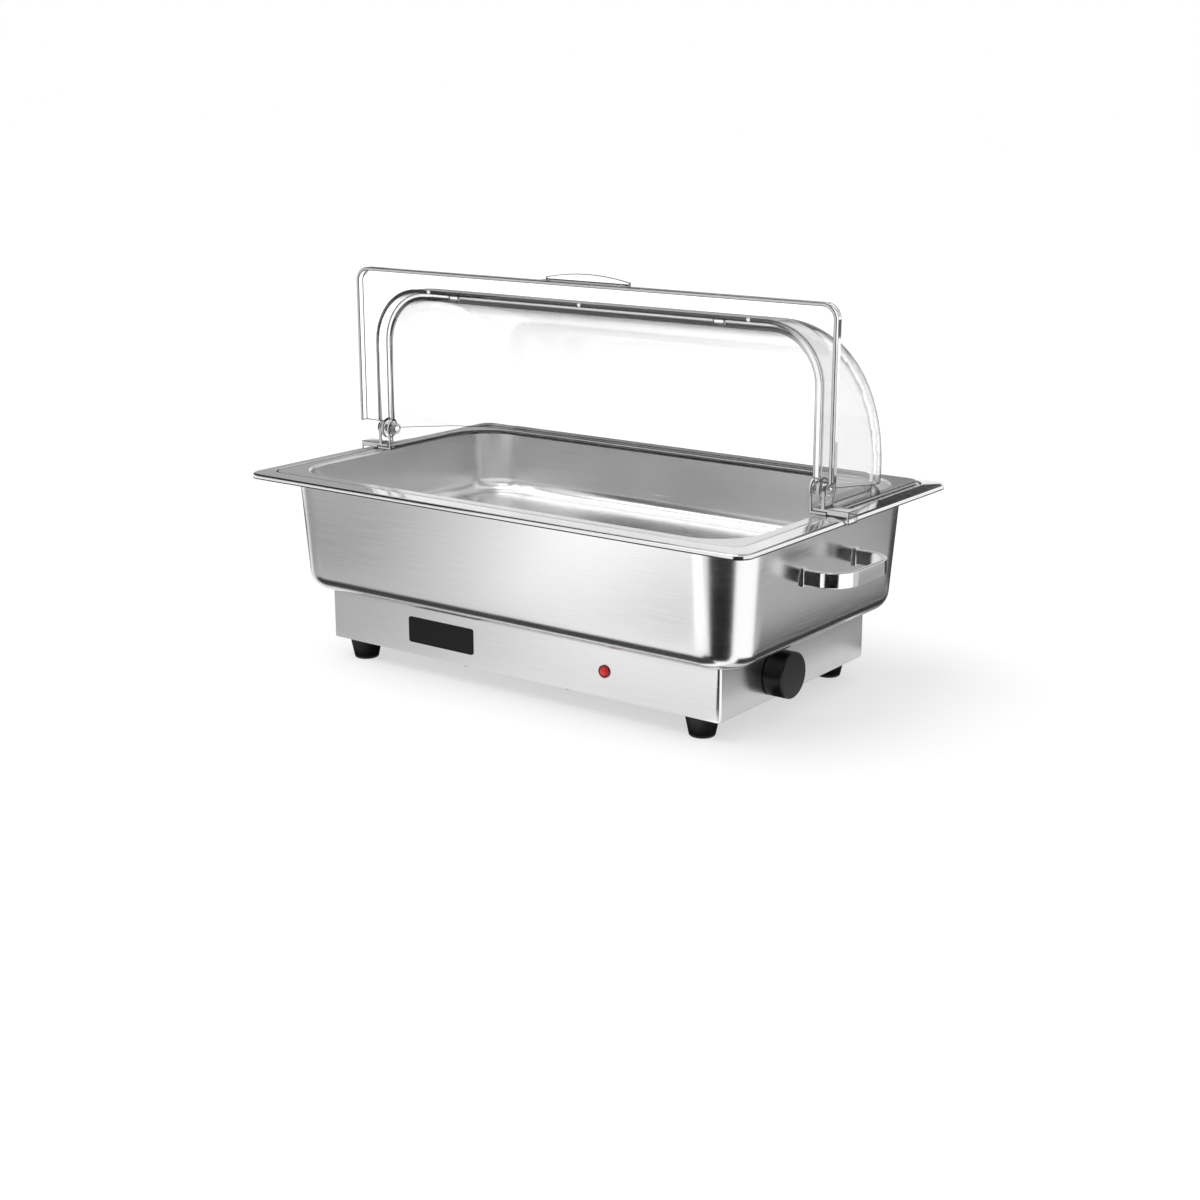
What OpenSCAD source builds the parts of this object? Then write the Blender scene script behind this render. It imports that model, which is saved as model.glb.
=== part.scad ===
// Electric chafing dish with a clear roll-top cover, shown open.
// Origin on the table under the middle of the dish, +Z up, +X along the long side, front at -Y.

/* [Food pan] */
// Length of the food pan over its flange
food_l = 530; // [500:1:560]
// Width of the food pan over its flange
food_w = 325; // [310:1:345]
// Width of the flange around the well
food_flange = 12; // [10:0.5:14]
// Depth of the well below the flange
food_depth = 65; // [40:1:80]
// Corner radius of the well at the flange
food_corner_r = 47; // [40:1:55]
// Corner radius of the flange
flange_corner_r = 14; // [10:0.5:20]
// Radius between the well's walls and its floor
food_fillet = 15; // [10:0.5:20]
// Draft of the well's walls in degrees
food_draft = 4.5; // [3:0.1:6]
// Sheet thickness of the food pan
food_sheet = 0.8; // [0.6:0.1:1.2]
// Height of the turned-down edge of the flange
food_edge_h = 2.3; // [2:0.1:3.5]

/* [Water pan] */
// Corner radius of the rim
rim_r = 15; // [11:0.5:22]
// Width of the rim outside the food pan's recess
rim_band = 15.5; // [13:0.5:20]
// Clearance around the food pan's flange in its recess
recess_gap = 1.5; // [1:0.1:2.5]
// Height of the rim's top over the food pan's flange
rim_proud = 0.4; // [0.2:0.1:0.6]
// Width of the seat under the short edges of the food pan
seat_short = 5.5; // [4:0.5:7]
// Width of the seat under the long edges of the food pan
seat_long = 9; // [6:0.5:10]
// Height of the rim's turned-down skirt
skirt_h = 6; // [4:0.5:9]
// Depth of the water pan, rim top to underside
water_depth = 117.2; // [100:0.1:140]
// Corner radius of the water pan at its seat
water_corner_r = 47; // [42:1:52]
// Radius between the water pan's walls and its floor
water_fillet = 18; // [12:0.5:22]
// Draft of the water pan's walls in degrees
water_draft = 4.3; // [3:0.1:5]
// Sheet thickness of the water pan
water_sheet = 1; // [0.8:0.1:1.5]

/* [Side handles] */
// Length of a handle along the pan
handle_l = 95; // [84:1:110]
// How far a handle stands out from the wall
handle_reach = 41; // [34:0.5:46]
// Height of the handle strap
handle_h = 14; // [10:0.5:18]
// Thickness of the handle strap
handle_t = 4; // [3:0.5:6]
// Outer bend radius of the handle strap
handle_bend = 26; // [20:1:30]
// Height of the handle's middle above the water pan's underside
handle_z = 68; // [50:1:80]

/* [Base] */
// Length of the base housing
base_l = 453; // [430:1:460]
// Width of the base housing
base_w = 250; // [230:0.5:252]
// Height of the base housing
base_h = 50; // [47:0.5:60]
// Sheet thickness of the base housing
base_sheet = 1; // [0.8:0.1:1.5]
// Corner radius of the base housing
base_corner_r = 4; // [3:0.5:8]
// Width of the housing's turned-in lips
lip_w = 14; // [12:0.5:18]
// Thickness of the bottom plate
plate_t = 1; // [0.8:0.1:1.5]
// Length of a vent slot in the bottom plate
vent_l = 50; // [30:1:60]
// Width of a vent slot in the bottom plate
vent_w = 5; // [4:0.5:7]
// Spacing of the vent slots
vent_pitch = 14; // [11:0.5:18]

/* [Feet] */
// Height of a foot
foot_h = 20; // [17:0.5:26]
// Diameter of a foot at the top
foot_top_d = 31; // [24:0.5:32]
// Diameter of a foot at the bottom
foot_bottom_d = 23.5; // [18:0.5:25]
// Distance of a foot's axis from the short side of the base
foot_inset_x = 28; // [22:0.5:34]
// Distance of a foot's axis from the long side of the base
foot_inset_y = 16.5; // [16:0.5:19]

/* [Front panel] */
// Height of the panel's fittings above the base's lower edge
panel_h = 24.5; // [22:0.5:28]
// Place of the blank plate along the front
blank_x = -86.5; // [-130:0.5:-50]
// Length of the blank plate
blank_l = 79.5; // [60:0.5:100]
// Height of the blank plate
blank_h = 25; // [18:0.5:32]
// Thickness of the blank plate
blank_t = 0.8; // [0.5:0.1:1.5]
// Place of the pilot lamp along the front
lamp_x = 105; // [80:0.5:130]
// Diameter of the pilot lamp's flange
lamp_d = 12; // [11:0.5:15]
// Diameter of the pilot lamp's stem
lamp_stem_d = 8; // [7:0.5:9]
// Length of the pilot lamp's body behind the panel
lamp_body_l = 24; // [18:0.5:26]

/* [Knob and thermostat] */
// Diameter of the knob
knob_d = 42.5; // [38:0.5:46]
// Length of the knob
knob_l = 19; // [16:0.5:24]
// Gap between the knob and the housing
knob_gap = 0.8; // [0.5:0.1:2]
// Depth of the hollow in the knob's back, over the screw heads
knob_recess = 2.2; // [1.8:0.1:4]
// Bevel around the knob's face
knob_bevel = 1.2; // [0.5:0.1:2]
// Place of the knob along the side, from the middle
knob_y = -36; // [-60:1:-20]
// Diameter of the thermostat's spindle
spindle_d = 6; // [5:0.5:7]
// Diameter of the thermostat's bush
bush_d = 10; // [9:0.5:12]
// Depth of the thermostat's body behind the wall
thermostat_t = 28; // [24:0.5:32]
// Width of the thermostat's body
thermostat_w = 40; // [38:0.5:44]
// Height of the thermostat's body
thermostat_h = 34; // [28:0.5:38]
// Spacing of the thermostat's screws
thermostat_pitch = 28; // [24:0.5:30]

/* [Heater] */
// Length of the heater plate
heater_l = 300; // [280:1:310]
// Width of the heater plate
heater_w = 150; // [140:1:160]
// Thickness of the heater plate
heater_t = 3; // [2:0.5:5]
// Diameter of the heating element's tube
element_d = 8; // [6.5:0.5:9]
// Spacing of the heating element's runs
element_pitch = 30; // [26:1:32]
// Straight length of an inner run of the heating element
element_run = 210; // [180:1:220]
// Thickness of a clamp bar
clamp_t = 2; // [1.5:0.5:3]
// Air space between the clamp screws and the insulation mat
mat_air = 1.2; // [0.5:0.1:2.5]
// Border of the heat shield outside the heater plate
shield_border = 14; // [8:0.5:18]
// Thickness of the heat shield
shield_t = 1; // [0.8:0.1:1.5]
// Thickness of the insulation mat
mat_t = 4; // [2:0.5:5]
// Diameter of the thermostat's sensing bulb
bulb_d = 6; // [5:0.5:8]
// Length of the sensing bulb
bulb_l = 84; // [60:1:100]
// Diameter of the capillary tube
capillary_d = 2; // [1.5:0.1:3]

/* [Cord inlet] */
// Distance of the cord gland from the right end of the base
gland_inset = 40.5; // [30:0.5:75]
// Diameter of the gland's threaded body
gland_d = 16; // [14:0.5:18]
// Diameter of the gland's bore
gland_bore_d = 8; // [6:0.5:9]
// Length of the gland's nose outside the housing
gland_nose_l = 14; // [10:0.5:18]

/* [Cover] */
// Wall thickness of the clear cover
cover_wall = 3; // [2.5:0.1:3.5]
// Place of the hinge axis, from the middle
hinge_y = -8; // [-14:0.5:0]
// Height of the hinge axis above the rim
hinge_h = 20.8; // [19.5:0.1:24]
// Distance of the rear shell's ends from the well's ends
cover_end_gap = 5.5; // [4:0.5:8]
// Distance of the rear shell's back from the well's back
cover_back_gap = 23; // [18:0.5:28]
// Corner radius of the rear shell
rear_corner_r = 48; // [40:1:54]
// Space between the rear shell and the front shell
shell_gap = 5; // [4:0.1:6]
// Running clearance between the rear shell's front lip and the front shell
lip_gap = 1; // [0.6:0.1:1.5]
// Distance of the front shell's flange from the edge of the rim
cover_rim_inset = 8.8; // [7:0.1:11]
// Corner radius of the front shell's flange
cover_flange_r = 14; // [10:0.5:20]
// Depth of the turned edge of the front shell's flange
cover_edge_h = 9; // [7:0.5:10]
// Height of the closed front shell above the rim
cover_rest_gap = 0.8; // [0.5:0.1:1.5]
// Length of the finger grip
grip_l = 96; // [70:1:120]
// Depth of the grip's ledge behind the flange
grip_depth = 12; // [8:0.5:16]
// Height of the grip's lip in the middle
grip_h = 7; // [5:0.5:12]
// Height of the grip's lip at its ends
grip_end_h = 2; // [1:0.5:4]
// Distance of the front shell's stop tabs from the middle
tab_x = 152; // [120:1:170]
// Length of a stop tab
tab_l = 12; // [8:0.5:16]
// How far a stop tab reaches in over the rear shell's front lip
tab_h = 5; // [3:0.5:6]
// Distance of the outer bumpers from the middle
bumper_x = 183; // [150:1:190]
// Diameter of a bumper
bumper_d = 4; // [3:0.5:5]
// Thickness of a bumper
bumper_t = 1.2; // [0.8:0.1:2]

/* [Hinges] */
// Diameter of a hinge pin
pin_d = 6; // [5:0.5:7]
// Width of a hinge bracket
bracket_w = 16; // [15:0.5:18]
// Thickness of a hinge bracket's lug
lug_t = 4; // [3:0.5:5]
// Thickness of a hinge bracket's plate
bracket_t = 3; // [2.5:0.1:4]
// Diameter of a hinge pin's head
pin_head_d = 13; // [11:0.5:15]
// How far the front shell's hinge bosses stand proud of its end walls
boss_t = 0.4; // [0.2:0.1:0.5]
// Gap between a boss and a lug
lug_gap = 0.6; // [0.4:0.1:1.2]

/* [Fits] */
// Clearance of screws and plain fittings in their holes
fit = 0.2; // [0.1:0.05:0.3]
// Radial running clearance of spindle and hinge pins
run_fit = 0.05; // [0.03:0.01:0.08]

/* [Hidden] */
$fn = 48;
arc_steps = 8;
over = 5;

// Heights from the table up
base_top = foot_h + base_h;
rim_z = base_top + water_depth;
food_z = rim_z - rim_proud;
seat_z = food_z - food_edge_h;
panel_z = foot_h + panel_h;
plate_top = foot_h + plate_t;
lip_top = plate_top + base_sheet;
hinge_z = rim_z + hinge_h;

// Plan sizes of the pans
recess_l = food_l + 2*recess_gap;
recess_w = food_w + 2*recess_gap;
recess_r = flange_corner_r + recess_gap;
rim_l = recess_l + 2*rim_band;
rim_w = recess_w + 2*rim_band;
wall_run = water_sheet/cos(water_draft);
body_l = recess_l - 2*seat_short + 2*wall_run;
body_w = recess_w - 2*seat_long + 2*wall_run;
body_h = seat_z - base_top;
well_l = food_l - 2*food_flange;
well_w = food_w - 2*food_flange;

// Fastener sizes
m4_d = 4;
m5_d = 5;
head_gap = 1;

// Heater stack under the water pan
seat_gap = 0.2;
clamp_head_h = 2.4;
clamp_w = 12;
clamp_inset = 40;
stud_nut_h = 4;
stud_inset_x = 12;
stud_inset_y = 9;
stud_tail = 2;
heater_r = 10;
shield_r = 8;
element_z = base_top - heater_t - element_d/2 - seat_gap;
clamp_z = element_z - element_d/2 - seat_gap - clamp_t;
spacer_l = element_d + 2*seat_gap + clamp_t + clamp_head_h + mat_air + mat_t;
shield_z = base_top - heater_t - spacer_l - shield_t;
stud_x = heater_l/2 - stud_inset_x;
stud_y = heater_w/2 - stud_inset_y;
stud_points = [for (x = [-stud_x, stud_x], y = [-stud_y, stud_y]) [x, y]];
clamp_x = element_run/2 - clamp_inset;
clamp_points = [for (x = [-clamp_x, clamp_x], y = [-element_pitch, element_pitch]) [x, y]];

// Feet and the screws of the bottom plate
foot_points = [for (x = [-1, 1], y = [-1, 1]) [x*(base_l/2 - foot_inset_x), y*(base_w/2 - foot_inset_y)]];
foot_head_d = 10;
foot_head_h = 3.5;
foot_nut_h = 4;
foot_seat_z = 8;
foot_bore_d = foot_head_d + 1;
foot_screw_tail = 1;
foot_notch_d = 2*m5_d + 3;
lip_mid_x = base_l/2 - lip_w/2;
lip_mid_y = base_w/2 - lip_w/2;
plate_screw_x = 60;
plate_screw_y = 40;
plate_screw_points = concat(
    [for (x = [-lip_mid_x, lip_mid_x], y = [-plate_screw_y, plate_screw_y]) [x, y]],
    [for (x = [-plate_screw_x, plate_screw_x], y = [-lip_mid_y, lip_mid_y]) [x, y]]);
plate_head_h = 2;
plate_screw_l = 5;

// Thermostat and knob on the right wall
wall_x = base_l/2;
knob_room = knob_gap + knob_recess;
bush_out = knob_room - head_gap;
spindle_in = 12;
knob_back = wall_x + knob_gap;
knob_face_t = 5;
knob_bore_l = knob_l - knob_face_t;
thermostat_head_d = 2*m4_d - 1;
knob_recess_d = thermostat_pitch + thermostat_head_d + 2*head_gap;
flat_depth = 1.3;
spindle_play = 0.5;
thermostat_screw_l = 9;
thermostat_bore_l = 10;
clip_w = 8;
clip_wall = 4;
clip_t = 1.5;
capillary_bend = 6;
capillary_inset = 8;
bulb_gap = 6;
thermostat_x = wall_x - base_sheet - thermostat_t;
capillary_y = knob_y + thermostat_w/2 - capillary_inset;
bulb_x = thermostat_x - bulb_gap - bulb_d/2;
bulb_y = capillary_y + capillary_bend;
bulb_z = base_top - bulb_d/2 - seat_gap;

// Front panel fittings
blank_r = 2.5;
lamp_stem_l = 8;
lamp_flange_t = 1.5;
lamp_dome_h = 2;
lamp_nut_t = 3;

// Cord gland and terminal block
gland_hex_border = 9;
gland_hex_d = gland_d + gland_hex_border;
gland_flange_t = 4;
gland_nut_t = 5;
gland_tail = 1;
gland_nose_wall = 2.5;
gland_x = base_l/2 - gland_inset;
terminal_l = 42;
terminal_w = 18;
terminal_h = 16;
terminal_ways = 3;
terminal_pitch = terminal_l/terminal_ways;
terminal_screw_low = 2;
terminal_gap = 3;
terminal_x = gland_x - gland_hex_d - terminal_l/2 - terminal_gap;
terminal_y = base_w/2 - lip_w - terminal_gap - terminal_w/2;

// Cover shells: reach is the distance from the hinge axis, half length runs along it
rear_x = well_l/2 - cover_end_gap;
rear_reach = well_w/2 - hinge_y - cover_back_gap;
lip_out = shell_gap - lip_gap;
front_in = shell_gap;
front_out = shell_gap + cover_wall;
front_x = rear_x + front_out;
front_reach = rear_reach + front_out;
flange_x = rim_l/2 - cover_rim_inset;
flange_reach = rim_w/2 - cover_rim_inset + hinge_y;
edge_drop = hinge_h - cover_rest_gap;
flange_top_drop = edge_drop - cover_edge_h;
flange_low_drop = flange_top_drop + cover_wall;
hub_wall = 7;
hub_overlap = 2;
hub_r = pin_d/2 + hub_wall;
hub_in = hub_r - hub_overlap;
bracket_gap = 1;
flange_start = bracket_w/2 + bracket_gap;
rear_flange_top = food_z + cover_wall;
stop_gap = 0.6;
overlap_angle = asin((hinge_z - rear_flange_top - stop_gap)/front_reach);
cover_seat_inset = 2.5;
rear_flange_x = food_l/2 - cover_seat_inset;
rear_flange_y = food_w/2 - cover_seat_inset;
bore_d = pin_d + 2*run_fit;

// Hinge brackets
lug_x = front_x + boss_t + lug_gap;
bracket_in = rear_x + bracket_gap;
bracket_z = rear_flange_top;
hook_gap = 0.4;
hook_t = 2;
hook_x = rim_l/2 + hook_gap;
rim_pad_z = rim_z + hook_gap;
pin_head_t = 3;
cap_t = 2;
cap_wall = 2.5;
cap_d = pin_d + 2*cap_wall;
spacer_d = cap_d + 1;
bracket_screw_x = (bracket_in + lug_x)/2;
bracket_screw_d = 3;

// Shared shapes

// Rounded rectangle centred on the origin
module round_rect(l, w, r) {
    square([l - 2*r, w], center = true);
    square([l, w - 2*r], center = true);
    for (x = [-1, 1], y = [-1, 1])
        translate([x*(l/2 - r), y*(w/2 - r)])
            circle(r);
}

// Slot with round ends, centred on the origin and lying along X
module slot(l, w) {
    square([l - w, w], center = true);
    for (x = [-1, 1])
        translate([x*(l - w)/2, 0])
            circle(d = w);
}

// Rounded slab from height z0 up to z1
module slab(l, w, r, z0, z1) {
    translate([0, 0, z0])
        linear_extrude(z1 - z0)
            round_rect(l, w, r);
}

// Outline of a drafted wall with a rounded foot, seen along the wall.
// inset moves it in by a wall thickness and above lengthens it past the top.
function wall_points(top_r, h, draft, fillet, inset, above) =
    let (
        shift = inset/cos(draft),
        r = fillet - inset,
        foot_x = top_r - (h - inset)*tan(draft) - shift,
        mid_x = foot_x - r*(1 - sin(draft))/cos(draft),
        mid_z = inset + r)
    concat(
        [[0, inset]],
        [for (i = [0:arc_steps])
            let (a = -90 + (90 - draft)*i/arc_steps)
            [mid_x + r*cos(a), mid_z + r*sin(a)]],
        [[top_r + above*tan(draft) - shift, h + above], [0, h + above]]);

// Drafted tub standing on z = 0, with the plan size l by w at height h
module tub(l, w, top_r, h, draft, fillet, inset = 0, above = 0) {
    points = wall_points(top_r, h, draft, fillet, inset, above);
    cx = l/2 - top_r;
    cy = w/2 - top_r;
    for (i = [0:3])
        translate([(i == 0 || i == 3 ? 1 : -1)*cx, (i < 2 ? 1 : -1)*cy, 0])
            rotate([0, 0, 90*i])
                rotate_extrude(angle = 90)
                    polygon(points);
    for (turn = [0, 180])
        rotate([0, 0, turn]) {
            translate([-cx, cy, 0])
                rotate([90, 0, 90])
                    linear_extrude(2*cx)
                        polygon(points);
            translate([cx, cy, 0])
                rotate([90, 0, 0])
                    linear_extrude(2*cy)
                        polygon(points);
        }
    translate([-cx, -cy, inset])
        cube([2*cx, 2*cy, h + above - inset]);
}

// Round bar along X from x0 to x1
module bar_x(d, x0, x1) {
    translate([x0, 0, 0])
        rotate([0, 90, 0])
            cylinder(d = d, h = x1 - x0);
}

// Round bar along Y from y0 to y1
module bar_y(d, y0, y1) {
    translate([0, y1, 0])
        rotate([90, 0, 0])
            cylinder(d = d, h = y1 - y0);
}

// Ring standing on z = 0
module ring(outer_d, inner_d, h) {
    difference() {
        cylinder(d = outer_d, h = h);
        translate([0, 0, -over])
            cylinder(d = inner_d, h = h + 2*over);
    }
}

// Hexagon nut standing on z = 0
module hex_nut(across, bore, h) {
    difference() {
        cylinder(d = across, h = h, $fn = 6);
        translate([0, 0, -over])
            cylinder(d = bore, h = h + 2*over);
    }
}

// Arch outline: x is the reach from the hinge axis and y runs along the axis.
// grow moves it outwards from the rear shell's outer face.
module arch(grow) {
    r = rear_corner_r + grow;
    reach = rear_reach + grow;
    half = rear_x + grow;
    translate([0, -half])
        square([reach - r, 2*half]);
    translate([0, r - half])
        square([reach, 2*(half - r)]);
    for (s = [-1, 1])
        translate([reach - r, s*(half - r)])
            circle(r);
}

// Arched strip between two arch outlines, starting at a reach from the axis
module arch_strip(grow_out, grow_in, start) {
    difference() {
        arch(grow_out);
        arch(grow_in);
        translate([start - 2*hub_r, -rim_l])
            square([2*hub_r, 2*rim_l]);
    }
}

// Outline of a flange around the arch, from a start to an end reach
module flange_outline(half, start, end, r) {
    translate([start, -half])
        square([end - r - start, 2*half]);
    translate([start, r - half])
        square([end - start, 2*(half - r)]);
    for (s = [-1, 1])
        translate([end - r, s*(half - r)])
            circle(r);
}

// Places a flat layer in front of the hinge axis, from drop d0 to drop d1
module layer_front(d0, d1) {
    translate([0, hinge_y - d0, hinge_z])
        rotate([0, -90, 90])
            linear_extrude(d1 - d0)
                children();
}

// Places a flat layer below the hinge axis, from height z0 to z1
module layer_below(z0, z1) {
    translate([0, hinge_y, z0])
        rotate([0, 0, 90])
            linear_extrude(z1 - z0)
                children();
}

// Places a shape on the hinge axis
module on_hinge() {
    translate([0, hinge_y, hinge_z])
        children();
}

// Copies a shape to both ends of the cover
module both_ends() {
    children();
    mirror([1, 0, 0])
        children();
}

// Places a shape at the thermostat's spindle
module at_knob() {
    translate([0, knob_y, panel_z])
        children();
}

// Base

module base_housing() {
    color("silver")
    difference() {
        slab(base_l, base_w, base_corner_r, foot_h, base_top);
        slab(base_l - 2*base_sheet, base_w - 2*base_sheet, base_corner_r - base_sheet,
            lip_top, base_top - base_sheet);
        slab(base_l - 2*base_sheet, base_w - 2*base_sheet, base_corner_r - base_sheet,
            foot_h - over, plate_top);
        slab(base_l - 2*lip_w, base_w - 2*lip_w, base_corner_r, foot_h - over, base_top + over);
        translate([lamp_x, 0, panel_z])
            bar_y(lamp_stem_d + 2*fit, -base_w/2 - over, -base_w/2 + over);
        translate([gland_x, 0, panel_z])
            bar_y(gland_d + 2*fit, base_w/2 - over, base_w/2 + over);
        at_knob() {
            bar_x(bush_d + 2*fit, wall_x - over, wall_x + over);
            for (s = [-1, 1])
                translate([0, s*thermostat_pitch/2, 0])
                    bar_x(m4_d + 2*fit, wall_x - over, wall_x + over);
        }
        for (p = plate_screw_points)
            translate([p[0], p[1], foot_h])
                cylinder(d = m4_d + 2*fit, h = 2*over);
        for (p = foot_points)
            translate([p[0], p[1], foot_h])
                cylinder(d = foot_notch_d, h = 2*over);
    }
}

module bottom_plate() {
    side = 2*(base_sheet + fit);
    color("silver")
    translate([0, 0, foot_h])
        linear_extrude(plate_t)
            difference() {
                round_rect(base_l - side, base_w - side, base_corner_r - base_sheet);
                for (p = foot_points)
                    translate(p)
                        circle(d = m5_d + 2*fit);
                for (p = plate_screw_points)
                    translate(p)
                        circle(d = m4_d + 2*fit);
                for (x = [-1, 1], i = [-2:2])
                    translate([x*base_l/4, i*vent_pitch])
                        slot(vent_l, vent_w);
            }
}

module bottom_screws() {
    color("gainsboro")
    for (p = plate_screw_points)
        translate([p[0], p[1], foot_h - plate_head_h]) {
            cylinder(d = 2*m4_d, h = plate_head_h);
            cylinder(d = m4_d, h = plate_head_h + plate_screw_l);
        }
}

module rubber_feet() {
    color("#181818")
    for (p = foot_points)
        translate(p)
            difference() {
                cylinder(d1 = foot_bottom_d, d2 = foot_top_d, h = foot_h);
                translate([0, 0, -over])
                    cylinder(d = m5_d + 2*fit, h = foot_h + 2*over);
                translate([0, 0, -over])
                    cylinder(d = foot_bore_d, h = foot_seat_z + over);
            }
}

module foot_screws() {
    color("gainsboro")
    for (p = foot_points)
        translate([p[0], p[1], foot_seat_z - foot_head_h]) {
            cylinder(d = foot_head_d, h = foot_head_h);
            cylinder(d = m5_d, h = plate_top + foot_nut_h + foot_screw_tail - foot_seat_z + foot_head_h);
        }
}

module foot_nuts() {
    color("gainsboro")
    for (p = foot_points)
        translate([p[0], p[1], plate_top])
            hex_nut(2*m5_d - 1, m5_d + 2*run_fit, foot_nut_h);
}

// Front panel fittings

module front_plate() {
    color("#101010")
    translate([blank_x, -base_w/2, panel_z])
        rotate([90, 0, 0])
            linear_extrude(blank_t)
                round_rect(blank_l, blank_h, blank_r);
}

module pilot_lamp_lens() {
    dome_r = (pow(lamp_stem_d/2, 2) + pow(lamp_dome_h, 2))/(2*lamp_dome_h);
    color("red")
    translate([lamp_x, -base_w/2, panel_z])
        rotate([90, 0, 0]) {
            cylinder(d = lamp_d, h = lamp_flange_t);
            translate([0, 0, -lamp_stem_l])
                cylinder(d = lamp_stem_d, h = lamp_stem_l);
            intersection() {
                translate([0, 0, lamp_flange_t + lamp_dome_h - dome_r])
                    sphere(r = dome_r);
                translate([0, 0, lamp_flange_t])
                    cylinder(d = lamp_d, h = 2*lamp_dome_h);
            }
        }
}

module pilot_lamp_body() {
    tag = [0.8, 2.8, 6];
    color("#202020")
    translate([lamp_x, lamp_stem_l - base_w/2, panel_z])
        rotate([-90, 0, 0]) {
            cylinder(d = lamp_stem_d, h = lamp_body_l - lamp_stem_l);
            for (s = [-1, 1])
                translate([s*lamp_stem_d/4 - tag[0]/2, -tag[1]/2, lamp_body_l - lamp_stem_l])
                    cube(tag);
        }
}

module lamp_nut() {
    color("#303030")
    translate([lamp_x, base_sheet - base_w/2, panel_z])
        rotate([-90, 0, 0])
            ring(lamp_d + 1, lamp_stem_d + fit, lamp_nut_t);
}

module cord_gland() {
    gland_in = base_sheet + gland_nut_t + gland_tail;
    color("#181818")
    translate([gland_x, base_w/2, panel_z])
        rotate([-90, 0, 0])
            difference() {
                union() {
                    cylinder(d = gland_hex_d, h = gland_flange_t, $fn = 6);
                    translate([0, 0, -gland_in])
                        cylinder(d = gland_d, h = gland_in + gland_flange_t);
                    cylinder(d1 = gland_d + 2*gland_nose_wall, d2 = gland_bore_d + 2*gland_nose_wall,
                        h = gland_nose_l);
                }
                translate([0, 0, -gland_in - over])
                    cylinder(d = gland_bore_d, h = gland_in + gland_nose_l + 2*over);
            }
}

module gland_nut() {
    color("#181818")
    translate([gland_x, base_w/2 - base_sheet, panel_z])
        rotate([90, 0, 0])
            hex_nut(gland_hex_d, gland_d + 2*run_fit, gland_nut_t);
}

// Electrical parts inside the base

module terminal_block() {
    color("ivory")
    translate([terminal_x, terminal_y, plate_top])
        difference() {
            translate([-terminal_l/2, -terminal_w/2, 0])
                cube([terminal_l, terminal_w, terminal_h]);
            for (i = [-1:1]) {
                translate([i*terminal_pitch, 0, terminal_h/2])
                    cylinder(d = m5_d + 2*fit, h = terminal_h);
                translate([i*terminal_pitch, 0, terminal_h/3])
                    bar_y(m4_d, -terminal_w, terminal_w);
            }
        }
}

module terminal_screws() {
    color("goldenrod")
    for (i = [-1:1])
        translate([terminal_x + i*terminal_pitch, terminal_y, plate_top + terminal_h/2])
            cylinder(d = m5_d, h = terminal_h/2 - terminal_screw_low);
}

module heater_plate() {
    color("lightgray")
    translate([0, 0, base_top - heater_t])
        linear_extrude(heater_t)
            difference() {
                round_rect(heater_l, heater_w, heater_r);
                for (p = stud_points)
                    translate(p)
                        circle(d = m5_d + 2*fit);
                for (p = clamp_points)
                    translate(p)
                        circle(d = m4_d + 2*fit);
            }
}

module heating_element() {
    run = element_run/2;
    tail = 18;
    pin_l = 8;
    color("dimgray")
    translate([0, 0, element_z]) {
        for (i = [0:3])
            translate([0, (i - 1.5)*element_pitch, 0])
                bar_x(element_d, -run, run + (i == 0 || i == 3 ? tail : 0));
        for (i = [-1, 1])
            translate([-run, i*element_pitch, 0])
                rotate([0, 0, 90])
                    rotate_extrude(angle = 180)
                        translate([element_pitch/2, 0])
                            circle(d = element_d);
        translate([run, 0, 0])
            rotate([0, 0, -90])
                rotate_extrude(angle = 180)
                    translate([element_pitch/2, 0])
                        circle(d = element_d);
        for (s = [-1.5, 1.5])
            translate([0, s*element_pitch, 0])
                bar_x(element_d/2, run + tail, run + tail + pin_l);
    }
}

module element_clamps() {
    reach = 1.5*element_pitch + element_d;
    color("silver")
    for (s = [-1, 1])
        translate([s*clamp_x, 0, clamp_z])
            difference() {
                translate([-clamp_w/2, -reach, 0])
                    cube([clamp_w, 2*reach, clamp_t]);
                for (y = [-element_pitch, element_pitch])
                    translate([0, y, -over])
                        cylinder(d = m4_d + 2*fit, h = clamp_t + 2*over);
            }
}

module clamp_screws() {
    color("gainsboro")
    for (p = clamp_points)
        translate([p[0], p[1], clamp_z - clamp_head_h]) {
            cylinder(d = 2*m4_d, h = clamp_head_h);
            cylinder(d = m4_d, h = base_top - fit - clamp_z + clamp_head_h);
        }
}

module thermal_cutout() {
    cup_d = 16;
    cup_h = 7;
    brim = 2;
    brim_t = 1;
    tag = [0.8, 4.8, 3];
    tag_pitch = 8;
    color("#303030")
    translate([0, 0, base_top - heater_t]) {
        translate([0, 0, -brim_t])
            cylinder(d = cup_d + 2*brim, h = brim_t);
        translate([0, 0, -cup_h])
            cylinder(d = cup_d, h = cup_h);
        for (s = [-1, 1])
            translate([s*tag_pitch/2 - tag[0]/2, -tag[1]/2, -cup_h - tag[2]])
                cube(tag);
    }
}

module insulation_mat() {
    color("whitesmoke")
    translate([0, 0, shield_z + shield_t])
        linear_extrude(mat_t)
            difference() {
                round_rect(heater_l + shield_border, heater_w + shield_border, shield_r);
                for (p = stud_points)
                    translate(p)
                        circle(d = 2*m5_d + 2*fit);
            }
}

module heat_shield() {
    color("lightgray")
    translate([0, 0, shield_z])
        linear_extrude(shield_t)
            difference() {
                round_rect(heater_l + 2*shield_border, heater_w + 2*shield_border, shield_r);
                for (p = stud_points)
                    translate(p)
                        circle(d = m5_d + 2*fit);
            }
}

module pan_studs() {
    tail = stud_nut_h + stud_tail;
    color("gainsboro")
    for (p = stud_points)
        translate([p[0], p[1], shield_z - tail])
            cylinder(d = m5_d, h = base_top - shield_z + tail);
}

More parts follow.
